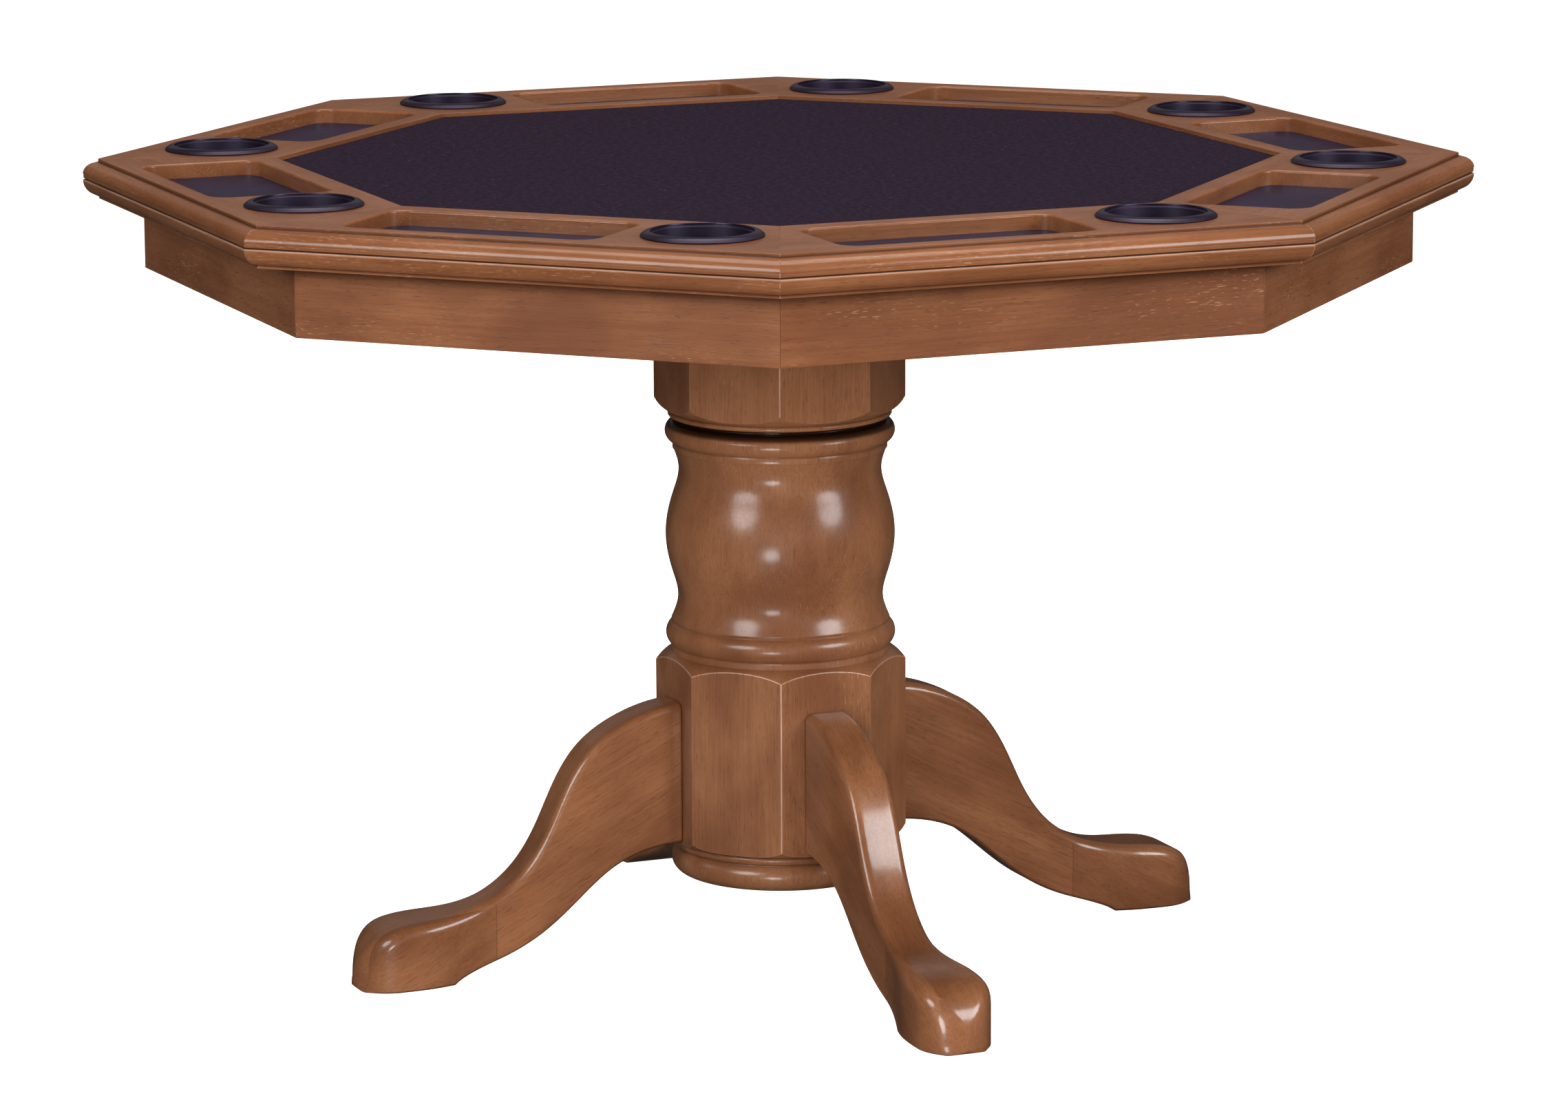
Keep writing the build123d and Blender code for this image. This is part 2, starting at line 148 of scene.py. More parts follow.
def rounded_loop(low, high, radius, count, outset=0.0):
    """Rectangle with round corners, grown by an outset, in four equal runs that each start mid-corner."""
    radius = radius + outset
    inner_low, inner_high = np.array(low) - outset + radius, np.array(high) + outset - radius
    centres = [inner_low, (inner_high[0], inner_low[1]), inner_high, (inner_low[0], inner_high[1])]
    bend = count // 4
    runs = []
    for corner in range(4):
        here, there = np.array(centres[corner], float), np.array(centres[(corner + 1) % 4], float)
        first = 225 + 90 * corner
        leaving = np.radians(np.linspace(first, first + 45, bend + 1))
        arriving = np.radians(np.linspace(first + 45, first + 90, bend + 1))
        away = here + radius * np.stack([np.cos(leaving), np.sin(leaving)], 1)
        home = there + radius * np.stack([np.cos(arriving), np.sin(arriving)], 1)
        straight = between(away[-1], home[0], count - 2 * bend + 1)
        runs.append(joined(away, straight, home)[:-1])
    return np.concatenate(runs)


def circle_loop(centre, radius, count):
    """Circle in four equal runs, starting at the direction of the low corner."""
    angle = np.radians(225) + np.linspace(0, 2 * math.pi, 4 * count, endpoint=False)
    return np.array(centre) + radius * np.stack([np.cos(angle), np.sin(angle)], 1)


def octagon_loop(apothem, count):
    """Octagon with flats square to X, count steps on each side."""
    corner = apothem / math.cos(SECTOR / 2)
    angle = SECTOR * (np.arange(SIDES) - 0.5)
    return closed_loop([corner * np.array([math.cos(a), math.sin(a)]) for a in angle], count)


def at_height(loop, height):
    """Plane points lifted to a height."""
    return np.concatenate([loop, np.full((len(loop), 1), height)], 1)


def turned_round(points, angle):
    """Points turned about the table's axis."""
    c, s = math.cos(angle), math.sin(angle)
    return points @ np.array([[c, s, 0], [-s, c, 0], [0, 0, 1]])


# ---------------------------------------------------------------- meshes

class Shell:
    """Patches of one closed surface. Their edges share points, so welding closes it."""

    def __init__(self):
        self.points, self.faces, self.count = [], [], 0

    def grid(self, points, wrap=False):
        """Quads between neighbouring rows of points; wrap joins the last column to the first."""
        points = np.asarray(points, float)
        rows, columns = points.shape[:2]
        row = np.arange(rows - 1)[:, None] * columns
        column = np.arange(columns if wrap else columns - 1)[None, :]
        beside = (column + 1) % columns
        below = row + columns
        corners = np.broadcast_arrays(row + column, row + beside, below + beside, below + column)
        self.faces += (np.stack(corners, -1).reshape(-1, 4) + self.count).tolist()
        self._keep(points)

    def cap(self, loop):
        """One flat face over a loop."""
        self.faces.append(list(range(self.count, self.count + len(loop))))
        self._keep(np.asarray(loop, float))

    def _keep(self, points):
        self.points.append(points.reshape(-1, 3))
        self.count += self.points[-1].shape[0]

    def mesh(self, name, angle=0.0):
        """The welded mesh, turned about the table's axis, with its faces outwards."""
        points = turned_round(np.concatenate(self.points), angle)
        mesh = bpy.data.meshes.new(name)
        mesh.from_pydata(points, [], self.faces)
        work = bmesh.new()
        work.from_mesh(mesh)
        bmesh.ops.remove_doubles(work, verts=work.verts, dist=5e-6)
        bmesh.ops.dissolve_degenerate(work, edges=work.edges, dist=1e-6)
        bmesh.ops.recalc_face_normals(work, faces=work.faces)
        work.to_mesh(mesh)
        work.free()
        mesh.shade_smooth()
        return mesh


def vertices_of(mesh):
    places = np.empty(len(mesh.vertices) * 3, np.float32)
    mesh.vertices.foreach_get("co", places)
    return places.reshape(-1, 3).astype(float)


def write_attribute(mesh, name, kind, field, values):
    values = np.ascontiguousarray(values, np.float32)
    mesh.attributes.new(name, kind, "POINT").data.foreach_set(field, values.ravel())


def wooden(mesh, angle, along, board, painted_shade_and_glue_line=None, wear_and_painted_highlight=None):
    """Writes what a wood finish reads: each point's place in its own board, with the fibres along the first
    axis, how much painted shade, with any glue line, darkens it, and how bright a painted highlight lies on
    its arris. A board's number shifts the pattern, so that no two boards are alike."""
    local = turned_round(vertices_of(mesh), -angle)
    first = np.array(along, float) / np.linalg.norm(along)
    helper = (0, 0, 1) if abs(first[2]) < 0.9 else (1, 0, 0)
    second = np.cross(helper, first)
    second /= np.linalg.norm(second)
    third = np.cross(first, second)
    shift = np.array([1.37, 0.83, 0.59]) * board
    grain = local @ np.stack([first, second, third], 1) + shift
    write_attribute(mesh, "grain", "FLOAT_VECTOR", "vector", grain)
    for name, measure in (("painted_shade_and_glue_line", painted_shade_and_glue_line), ("wear_and_painted_highlight", wear_and_painted_highlight)):
        values = np.zeros(len(local)) if measure is None else measure(local)
        write_attribute(mesh, name, "FLOAT", "value", values)


def piece(name, mesh, material, body, nodes, ease=0.0):
    """Object of a mesh that rides on a body and stands for CAD nodes, its sharp edges eased by a width."""
    thing = bpy.data.objects.new(name, mesh)
    bpy.context.scene.collection.objects.link(thing)
    mesh.materials.append(material)
    if ease:
        bevel = thing.modifiers.new("eased edges", "BEVEL")
        bevel.width = ease
        bevel.segments = 2
        bevel.limit_method = "ANGLE"
        bevel.angle_limit = math.radians(32)
    flats = thing.modifiers.new("flat faces stay flat", "WEIGHTED_NORMAL")
    flats.weight = 60
    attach(thing, body)
    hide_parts(*nodes)
    return thing


def round_the_table(node, look, shell, material, body="top", ease=0.0, finish=None):
    """The same piece at each of the octagon's sides, each in place of its own CAD node. A body's name may
    hold the side's number, and a finish writes what the material reads, from the mesh, its angle and its
    side."""
    for side in range(SIDES):
        name = f"{node}_{side + 1}"
        angle = SECTOR * side
        mesh = shell.mesh(f"{name}_{look}", angle)
        if finish:
            finish(mesh, angle, side)
        piece(f"{name}_{look}", mesh, material, body.format(side + 1), [name], ease)


# ---------------------------------------------------------------- shader nodes

class Net:
    """Shorthand for adding nodes to one tree."""

    def __init__(self, tree):
        self.tree = tree

    def feed(self, node, feeds):
        """Links a node's inputs to sockets, or sets them to plain values."""
        for name, value in dict(feeds).items():
            if isinstance(value, bpy.types.NodeSocket):
                self.tree.links.new(value, node.inputs[name])
            else:
                node.inputs[name].default_value = value

    def node(self, kind, feeds=(), **settings):
        """A node with its settings, then with what feeds its inputs."""
        made = self.tree.nodes.new(kind)
        for name, value in settings.items():
            setattr(made, name, value)
        self.feed(made, feeds)
        return made

    def math(self, operation, first, second=0.0, clamp=False):
        feeds = {0: first, 1: second}
        return self.node("ShaderNodeMath", feeds, operation=operation, use_clamp=clamp).outputs[0]

    def mix(self, factor, first, second, blend="MIX"):
        """Two colours mixed."""
        feeds = {0: factor, 6: first, 7: second}
        return self.node("ShaderNodeMix", feeds, data_type="RGBA", blend_type=blend).outputs[2]

    def ramp(self, value, low, high, to_low=0.0, to_high=1.0):
        """A value eased from one range to another."""
        feeds = {0: value, 1: low, 2: high, 3: to_low, 4: to_high}
        return self.node("ShaderNodeMapRange", feeds, interpolation_type="SMOOTHSTEP").outputs[0]

    def stretched(self, vector, scale, shift=(0, 0, 0)):
        feeds = {"Vector": vector, "Scale": scale, "Location": shift}
        return self.node("ShaderNodeMapping", feeds).outputs[0]

    def noise(self, vector, scale=1.0, detail=2.0, roughness=0.5, distortion=0.0):
        feeds = {
            "Vector": vector, "Scale": scale, "Detail": detail,
            "Roughness": roughness, "Distortion": distortion,
        }
        return self.node("ShaderNodeTexNoise", feeds).outputs[0]

    def attribute(self, name, output="Vector"):
        return self.node("ShaderNodeAttribute", attribute_name=name).outputs[output]

    def object_place(self):
        return self.node("ShaderNodeTexCoord").outputs["Object"]

    def group(self, tree, feeds):
        return self.node("ShaderNodeGroup", feeds, node_tree=tree)

    def axes(self, vector):
        """The three parts of a vector."""
        return self.node("ShaderNodeSeparateXYZ", {0: vector}).outputs

    def moved(self, vector, by):
        return self.node("ShaderNodeVectorMath", {0: vector, 1: by}, operation="ADD").outputs[0]

    def bump(self, height, strength, distance):
        feeds = {"Height": height, "Strength": strength, "Distance": distance}
        return self.node("ShaderNodeBump", feeds).outputs[0]


def new_group(name, inputs, outputs):
    """Empty node group with named sockets, its net, and its input sockets."""
    tree = bpy.data.node_groups.new(name, "ShaderNodeTree")
    kinds = {"vector": "NodeSocketVector", "colour": "NodeSocketColor", "value": "NodeSocketFloat"}
    for way, sockets in (("INPUT", inputs), ("OUTPUT", outputs)):
        for socket, kind in sockets.items():
            tree.interface.new_socket(socket, in_out=way, socket_type=kinds[kind])
    net = Net(tree)
    return tree, net, net.node("NodeGroupInput").outputs


GLINT_PAINT = (0.62, 0.36, 0.22, 1)  # painted glints: sparse short pale specks where the lacquer catches the light
HIGHLIGHT_PAINT = (0.66, 0.42, 0.31, 1)  # painted highlight on arrises, mitre joints and the blocks' corners
SHADE_PAINT = (0.16, 0.13, 0.12, 1)  # what the darkest stain is multiplied by for painted shade and for glue lines


def make_wood_group():
    """Stained hardwood. Long noise along the fibres gives the figure, finer noise the fibres and the pores,
    and round noise the blotches that stain leaves. Sparse pale specks are painted glints, the painted shade
    input darkens, and the painted highlight input lightens arrises. The height is of the open pores under the
    lacquer."""
    tree, net, given = new_group(
        "stained wood",
        {
            "Grain": "vector", "Painted shade and glue line": "value", "Painted highlight": "value",
            "Light": "colour", "Middle": "colour", "Dark": "colour",
            "Tone": "value", "Figure": "value", "Blotches": "value", "Pores": "value", "Painted glints": "value",
        },
        {"Color": "colour", "Roughness": "value", "Height": "value"},
    )
    grain = given["Grain"]
    sway = net.noise(net.stretched(grain, (1.6, 7, 7)), detail=2)
    sway = net.math("MULTIPLY", net.math("SUBTRACT", sway, 0.5), 0.028)
    swayed = net.moved(grain, net.node("ShaderNodeCombineXYZ", {"Y": sway, "Z": sway}).outputs[0])
    bands = net.noise(net.stretched(swayed, (1.5, 48, 48)), detail=4, roughness=0.55)
    fine = net.noise(net.stretched(swayed, (9, 420, 420)), detail=3, roughness=0.6)
    fibres = net.noise(net.stretched(swayed, (28, 900, 900)), detail=2)
    pore_noise = net.noise(net.stretched(swayed, (90, 1500, 1500), (3, 5, 7)), detail=1)
    pores = net.math("MULTIPLY", net.ramp(pore_noise, 0.62, 0.72), given["Pores"])
    glint_noise = net.noise(net.stretched(swayed, (130, 1100, 1100), (9, 1, 4)), detail=0)
    patches = net.noise(net.stretched(grain, (4, 14, 14), (6, 2, 8)), detail=2)
    painted_glints = net.math("MULTIPLY", net.ramp(glint_noise, 0.70, 0.76), net.ramp(patches, 0.48, 0.66))
    clouds = net.noise(net.stretched(grain, (5, 9, 9), (2, 4, 6)), detail=3, roughness=0.6)

    figure = net.math("MULTIPLY", net.ramp(bands, 0.38, 0.62), given["Figure"])
    tone = net.math("ADD", figure, net.ramp(fine, 0.3, 0.7, -0.15, 0.26))
    colour = net.mix(net.math("ADD", tone, given["Tone"], clamp=True), given["Middle"], given["Light"])
    stain = net.math("MULTIPLY", net.ramp(clouds, 0.35, 0.68), given["Blotches"])
    colour = net.mix(stain, colour, given["Dark"])
    colour = net.mix(net.ramp(fibres, 0.45, 0.72, 0.0, 0.20), colour, given["Dark"])
    colour = net.mix(net.math("MULTIPLY", pores, 0.75), colour, given["Dark"])
    # painted glints mixed in
    colour = net.mix(net.math("MULTIPLY", painted_glints, given["Painted glints"]), colour, GLINT_PAINT)
    # painted shade, and glue lines, go towards the darkest stain darkened further
    deep = net.mix(1.0, given["Dark"], SHADE_PAINT, "MULTIPLY")
    colour = net.mix(net.ramp(given["Painted shade and glue line"], 0.0, 1.0, 0.0, 0.97), colour, deep)
    # painted highlight on arrises, broken by the fine noise
    painted_highlight = net.math("MULTIPLY", given["Painted highlight"], net.ramp(fine, 0.30, 0.55, 0.45, 1.0))
    colour = net.mix(painted_highlight, colour, HIGHLIGHT_PAINT)

    rough = net.math("ADD", net.ramp(clouds, 0.3, 0.7, 0.30, 0.40), net.math("MULTIPLY", pores, 0.2))
    height = net.math("SUBTRACT", net.math("MULTIPLY", fibres, 0.25), pores)
    net.node("NodeGroupOutput", {"Color": colour, "Roughness": rough, "Height": height})
    return tree


def make_specks_group():
    """Sparse specks, such as dust or lint: small round spots about the middles of random cells, most of
    them left out."""
    tree, net, given = new_group(
        "specks",
        {"Place": "vector", "Spacing": "value", "Size": "value", "Share": "value"},
        {"Mask": "value"},
    )
    scale = net.math("DIVIDE", 1.0, given["Spacing"])
    cells = net.node("ShaderNodeTexVoronoi", {"Vector": given["Place"], "Scale": scale})
    apart = net.math("MULTIPLY", cells.outputs["Distance"], given["Spacing"])
    spot = net.math("LESS_THAN", apart, given["Size"])
    pick = net.node("ShaderNodeSeparateColor", {0: cells.outputs["Color"]}).outputs[0]
    chosen = net.math("LESS_THAN", pick, given["Share"])
    net.node("NodeGroupOutput", {"Mask": net.math("MULTIPLY", spot, chosen)})
    return tree


WOOD = make_wood_group()
SPECKS = make_specks_group()


def new_material(name):
    """Material with its net and its Principled shader."""
    material = bpy.data.materials.new(name)
    material.use_nodes = True
    shader = material.node_tree.nodes["Principled BSDF"]
    return material, Net(material.node_tree), shader


STAIN_LIGHT = (0.370, 0.168, 0.080, 1)
STAIN_MIDDLE = (0.262, 0.104, 0.045, 1)
STAIN_DARK = (0.120, 0.034, 0.010, 1)


def painted_mitre_glints(net, wear_and_painted_highlight):
    """Painted highlight with painted glints along the joints between the octagon's sides added to it, broken
    by small gaps.
    """
    place = net.object_place()
    across = net.axes(place)
    turn = net.math("FLOORED_MODULO", net.math("ARCTAN2", across[1], across[0]), SECTOR)
    off = net.math("ABSOLUTE", net.math("SUBTRACT", turn, SECTOR / 2))
    distance = net.node("ShaderNodeVectorMath", {0: place}, operation="LENGTH").outputs[1]
    line = net.ramp(net.math("MULTIPLY", off, distance), 0.2 * MM, 0.8 * MM, 0.55, 0.0)
    gaps = net.ramp(net.noise(place, 260, 1), 0.42, 0.56)
    return net.math("MAXIMUM", wear_and_painted_highlight, net.math("MULTIPLY", line, gaps))


def cheek_seam(net, grain, painted_shade_and_glue_line):
    """Grain and painted shade with a foot's cheeks glued on: their fibres belong to other boards, beyond a
    fine glue line that darkens like the painted shade."""
    across = net.axes(net.object_place())
    sides = [net.math("ABSOLUTE", across[axis]) for axis in (0, 1)]
    out, beside = net.math("MAXIMUM", *sides), net.math("MINIMUM", *sides)
    outer = net.math("GREATER_THAN", beside, CHEEK_IN)
    cheek = net.math("MULTIPLY", net.math("GREATER_THAN", out, CHEEK_START), outer)
    shift = net.node("ShaderNodeCombineXYZ", {"X": net.math("MULTIPLY", cheek, 0.7), "Y": cheek}).outputs[0]
    near = net.math("ABSOLUTE", net.math("SUBTRACT", out, CHEEK_START))
    line = net.math("MULTIPLY", net.ramp(near, 0.3 * MM, 0.9 * MM, 0.35, 0.0), outer)
    return net.moved(grain, shift), net.math("MAXIMUM", painted_shade_and_glue_line, line)


def stained_wood(name, tone, figure, blotches, pores, painted_glints, sheen, polish, blur, seam=False, mitres=False):
    """Lacquered stained wood that reads its boards' own coordinates. The sheen is the wood's own, the
    polish is how much lacquer lies over it and the blur is that lacquer's roughness."""
    material, net, shader = new_material(name)
    grain = net.attribute("grain")
    painted_shade_and_glue_line = net.attribute("painted_shade_and_glue_line", "Fac")
    wear_and_painted_highlight = net.attribute("wear_and_painted_highlight", "Fac")
    if mitres:
        wear_and_painted_highlight = painted_mitre_glints(net, wear_and_painted_highlight)
    if seam:
        grain, painted_shade_and_glue_line = cheek_seam(net, grain, painted_shade_and_glue_line)
    wood = net.group(WOOD, {
        "Grain": grain, "Painted shade and glue line": painted_shade_and_glue_line, "Painted highlight": wear_and_painted_highlight,
        "Light": STAIN_LIGHT, "Middle": STAIN_MIDDLE, "Dark": STAIN_DARK,
        "Tone": tone, "Figure": figure, "Blotches": blotches, "Pores": pores, "Painted glints": painted_glints,
    }).outputs
    net.feed(shader, {
        "Base Color": wood["Color"], "Roughness": wood["Roughness"], "Specular IOR Level": sheen,
        "Coat Weight": polish, "Coat Roughness": blur, "Coat IOR": 1.5,
        "Normal": net.bump(wood["Height"], 0.35, 0.2 * MM),
    })
    return material


def bare_wood(name, turn, light, middle, dark, rough=0.6):
    """Unfinished wood of a hidden CAD part; a turn in degrees brings its fibres onto the first axis."""
    material, net, shader = new_material(name)
    rotation = (0, 0, math.radians(turn))
    mapping = net.node("ShaderNodeMapping", {"Vector": net.object_place(), "Rotation": rotation})
    wood = net.group(WOOD, {
        "Grain": mapping.outputs[0], "Painted shade and glue line": 0.0, "Painted highlight": 0.0,
        "Light": light, "Middle": middle, "Dark": dark,
        "Tone": 0.0, "Figure": 0.7, "Blotches": 0.25, "Pores": 0.5, "Painted glints": 0.0,
    }).outputs
    net.feed(shader, {
        "Base Color": wood["Color"], "Roughness": net.math("ADD", wood["Roughness"], rough - 0.3),
        "Normal": net.bump(wood["Height"], 0.4, 0.3 * MM),
    })
    return material


def felt():
    """Dense dark felt: fibres of every direction as fine noise, a soft pile over them, and some lint."""
    material, net, shader = new_material("felt")
    place = net.object_place()
    fibres = net.noise(place, 1500, 3, 0.65)
    tufts = net.noise(place, 420, 2, 0.6, 0.4)
    mottle = net.noise(place, 24, 3)
    clumps = net.noise(place, 170, 2, 0.7)
    tone = net.math("ADD", net.ramp(fibres, 0.3, 0.7, 0.0, 0.6), net.ramp(tufts, 0.3, 0.7, 0.0, 0.4))
    tone = net.math("ADD", net.math("MULTIPLY", tone, 0.6), net.ramp(clumps, 0.35, 0.65, 0.0, 0.4))
    colour = net.mix(tone, (0.001, 0.0006, 0.0013, 1), (0.042, 0.025, 0.046, 1))
    colour = net.mix(net.ramp(mottle, 0.35, 0.65, 0.0, 0.35), colour, (0.024, 0.013, 0.026, 1))
    lint = net.group(SPECKS, {"Place": place, "Spacing": 13 * MM, "Size": 0.6 * MM, "Share": 0.28}).outputs[0]
    colour = net.mix(net.math("MULTIPLY", lint, 0.5), colour, (0.42, 0.38, 0.42, 1))
    height = net.math("ADD", fibres, net.math("MULTIPLY", tufts, 0.8))
    net.feed(shader, {
        "Base Color": colour, "Roughness": 0.95, "Specular IOR Level": 0.08,
        "Sheen Weight": 0.02, "Sheen Roughness": 0.5, "Sheen Tint": (0.70, 0.50, 0.75, 1),
        "Normal": net.bump(height, 0.6, 0.8 * MM),
    })
    return material


def plastic(name, colour, rough, texture=0.3, shine=0.5, tint=(1, 1, 1, 1), rim=None):
    """Moulded plastic with a fine satin texture and a little dust. What stands above the tabletop may be
    smoother: a rim is the share of the roughness that is left there."""
    material, net, shader = new_material(name)
    place = net.object_place()
    stipple = net.noise(place, 1100, 2)
    wear_and_painted_highlight = net.noise(place, 30, 4, 0.6)
    dust = net.group(SPECKS, {"Place": place, "Spacing": 11 * MM, "Size": 0.4 * MM, "Share": 0.12}).outputs[0]
    lighter = tuple(min(1.0, 2.0 * c) for c in colour[:3]) + (1,)
    shade = net.mix(net.ramp(wear_and_painted_highlight, 0.35, 0.7, 0.0, 0.5), colour, lighter)
    shade = net.mix(net.math("MULTIPLY", dust, 0.35), shade, (0.4, 0.38, 0.4, 1))
    blur = net.ramp(wear_and_painted_highlight, 0.3, 0.7, rough - 0.04, rough + 0.06)
    if rim:
        height = net.axes(place)[2]
        blur = net.math("MULTIPLY", blur, net.ramp(height, TOP + 2.5 * MM, TOP + 4.6 * MM, 1.0, rim))
    net.feed(shader, {
        "Base Color": shade, "Roughness": blur, "Specular IOR Level": shine, "Specular Tint": tint,
        "Normal": net.bump(stipple, texture, 0.1 * MM),
    })
    return material


def plated_steel():
    """Zinc-plated steel: a fine crystal bloom and a little tarnish."""
    material, net, shader = new_material("zinc plated steel")
    place = net.object_place()
    bloom = net.noise(place, 600, 3)
    tarnish = net.noise(place, 60, 3)
    net.feed(shader, {
        "Base Color": net.mix(net.ramp(tarnish, 0.4, 0.7), (0.60, 0.60, 0.58, 1), (0.40, 0.38, 0.33, 1)),
        "Metallic": 1.0, "Roughness": net.ramp(bloom, 0.3, 0.7, 0.28, 0.45),
        "Normal": net.bump(bloom, 0.15, 0.1 * MM),
    })
    return material


# ---------------------------------------------------------------- finishes

CHEEK_START = 302 * MM
CHEEK_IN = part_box("leg_1")[1].y * 0.60

rail_wood = stained_wood(
    "stained rail wood", tone=0.0, figure=0.25, blotches=0.40, pores=0.7, painted_glints=0.35,
    sheen=0.15, polish=0.45, blur=0.13, mitres=True)
apron_wood = stained_wood(
    "stained apron veneer", tone=0.0, figure=0.25, blotches=0.55, pores=1.0, painted_glints=0.5,
    sheen=0.4, polish=0.3, blur=0.19)
column_wood = stained_wood(
    "stained turned wood", tone=0.70, figure=0.10, blotches=0.60, pores=0.8, painted_glints=0.3,
    sheen=0.4, polish=0.5, blur=0.18)
leg_wood = stained_wood(
    "stained leg wood", tone=0.3, figure=0.25, blotches=0.60, pores=0.8, painted_glints=0.08,
    sheen=0.35, polish=0.6, blur=0.13, seam=True)
PALE = ((0.62, 0.43, 0.25, 1), (0.50, 0.32, 0.17, 1), (0.34, 0.20, 0.10, 1))
felt_cloth = felt()
PURPLE = (0.90, 0.76, 1.0, 1)  # tint of what dark plastic mirrors
cup_plastic = plastic("satin black cup plastic", (0.011, 0.006, 0.015, 1), 0.50, 0.0, 0.6, PURPLE, rim=0.5)
liner_plastic = plastic("smooth black liner", (0.020, 0.013, 0.030, 1), 0.46, 0.0, 0.3, PURPLE)
rubber = plastic("soft black rubber", (0.020, 0.020, 0.020, 1), 0.7, 0.6)
steel = plated_steel()


# ---------------------------------------------------------------- rails

STEPS = 16  # columns of each half of a rail


def rail_profile(upper):
    """Outer side of a rail, from its face to its joint: a step, a quarter of an oval, and half of the
    middle groove. An upper rail has a fillet between the oval and the groove."""
    foot = MIDDLE + (4.7 * MM if upper else 0.9 * MM)
    bead = TOP - EDGE_STEP
    angle = np.linspace(math.pi / 2, 0, 13)
    oval = np.stack([EDGE_FLAT + EDGE_ROUND * np.cos(angle), foot + (bead - foot) * np.sin(angle)], 1)
    face, in_step = EDGE_OUT - 0.5 * MM, EDGE_OUT - 0.8 * MM
    fillet = [(in_step, foot - 0.4 * MM), (face, foot - 0.9 * MM), (face, MIDDLE + 1.0 * MM)]
    groove = [(EDGE_OUT - EDGE_GROOVE, MIDDLE)]
    return np.concatenate([[[EDGE_FLAT, TOP]], oval, (fillet if upper else []) + groove])


def rail_strip(profile):
    """Profile carried between the two mitres, with the parting line as its middle column."""
    out, height = profile[:, :1], profile[:, 1:]
    left = np.linspace(0, 1, STEPS + 1)
    along = np.concatenate([
        -out * MITRE * (1 - left) + PARTING * left,
        (PARTING * (1 - left) + out * MITRE * left)[:, 1:],
    ], 1)
    return np.stack([np.broadcast_to(out, along.shape), along, np.broadcast_to(height, along.shape)], 2)


def half_corners(out, right):
    """Corners of the tray's or the cup's half of a rail's face, out to a distance."""
    if right:
        return [(FIELD, PARTING), (out, PARTING), (out, out * MITRE), (FIELD, FIELD * MITRE)]
    return [(FIELD, -FIELD * MITRE), (out, -out * MITRE), (out, PARTING), (FIELD, PARTING)]


def flat_half(shell, out, height, right):
    """Plain half of a face, as a grid between its four corners."""
    a, b, c, d = (np.array(p, float) for p in half_corners(out, right))
    u, v = (np.linspace(0, 1, STEPS + 1).reshape(shape) for shape in ((-1, 1, 1), (1, -1, 1)))
    grid = (1 - u) * (1 - v) * a + u * (1 - v) * b + u * v * c + (1 - u) * v * d
    shell.grid(np.concatenate([grid, np.full(grid.shape[:2] + (1,), height)], 2))


def sunk_half(shell, out, height, right, loops, floor):
    """Half of a face with a hollow in it: the face runs in to the first loop, the rest go down, a floor may
    close it."""
    rim = at_height(closed_loop(half_corners(out, right), STEPS), height)
    rows = [rim, (rim + loops[0]) / 2] + loops
    shell.grid(np.stack(rows), wrap=True)
    if floor:
        shell.cap(loops[-1])


def tray_loops():
    """Outlines of the chip tray from its rounded lip down its wall."""
    low = (LINER_LOW.x - LINER_GAP, LINER_LOW.y - LINER_GAP)
    high = (LINER_HIGH.x + LINER_GAP, LINER_HIGH.y + LINER_GAP)
    lip = np.linspace(0, math.pi / 2, 7)
    rows = [(TRAY_LIP * (1 - math.sin(a)), TOP - TRAY_LIP * (1 - math.cos(a))) for a in lip]
    rows.append((0.0, TRAY_FLOOR))
    return [at_height(rounded_loop(low, high, TRAY_CORNER, STEPS, outset), height) for outset, height in rows]


def hole_loops(*heights):
    """Circles of the cup's hole at heights."""
    return [at_height(circle_loop((CUP_PLACE.x, CUP_PLACE.y), HOLE, STEPS), height) for height in heights]


def rail_painted_shade(local):
    """Painted shade in the groove at mid-height and under each step, and a little painted shade over the
    rounded edge."""
    out, height = local[:, 0], np.abs(local[:, 2] - MIDDLE)
    groove = np.exp(-(((out - (EDGE_OUT - EDGE_GROOVE)) ** 2 + height**2) / (1.2 * MM) ** 2))
    step = np.exp(-(((out - EDGE_FLAT) ** 2 + (height - LAYER + EDGE_STEP) ** 2) / (1.6 * MM) ** 2))
    rounded = np.clip((out - EDGE_FLAT) / (3 * MM), 0, 1)
    return np.clip(0.6 * groove + 0.7 * step + 0.18 * rounded, 0, 1)


def rail_painted_highlight(local):
    """A painted highlight on the arris on the lower side of the middle groove."""
    out, depth = local[:, 0], MIDDLE - local[:, 2]
    return 0.55 * np.exp(-(((out - EDGE_OUT) ** 2 + (depth - 0.9 * MM) ** 2) / (0.5 * MM) ** 2))


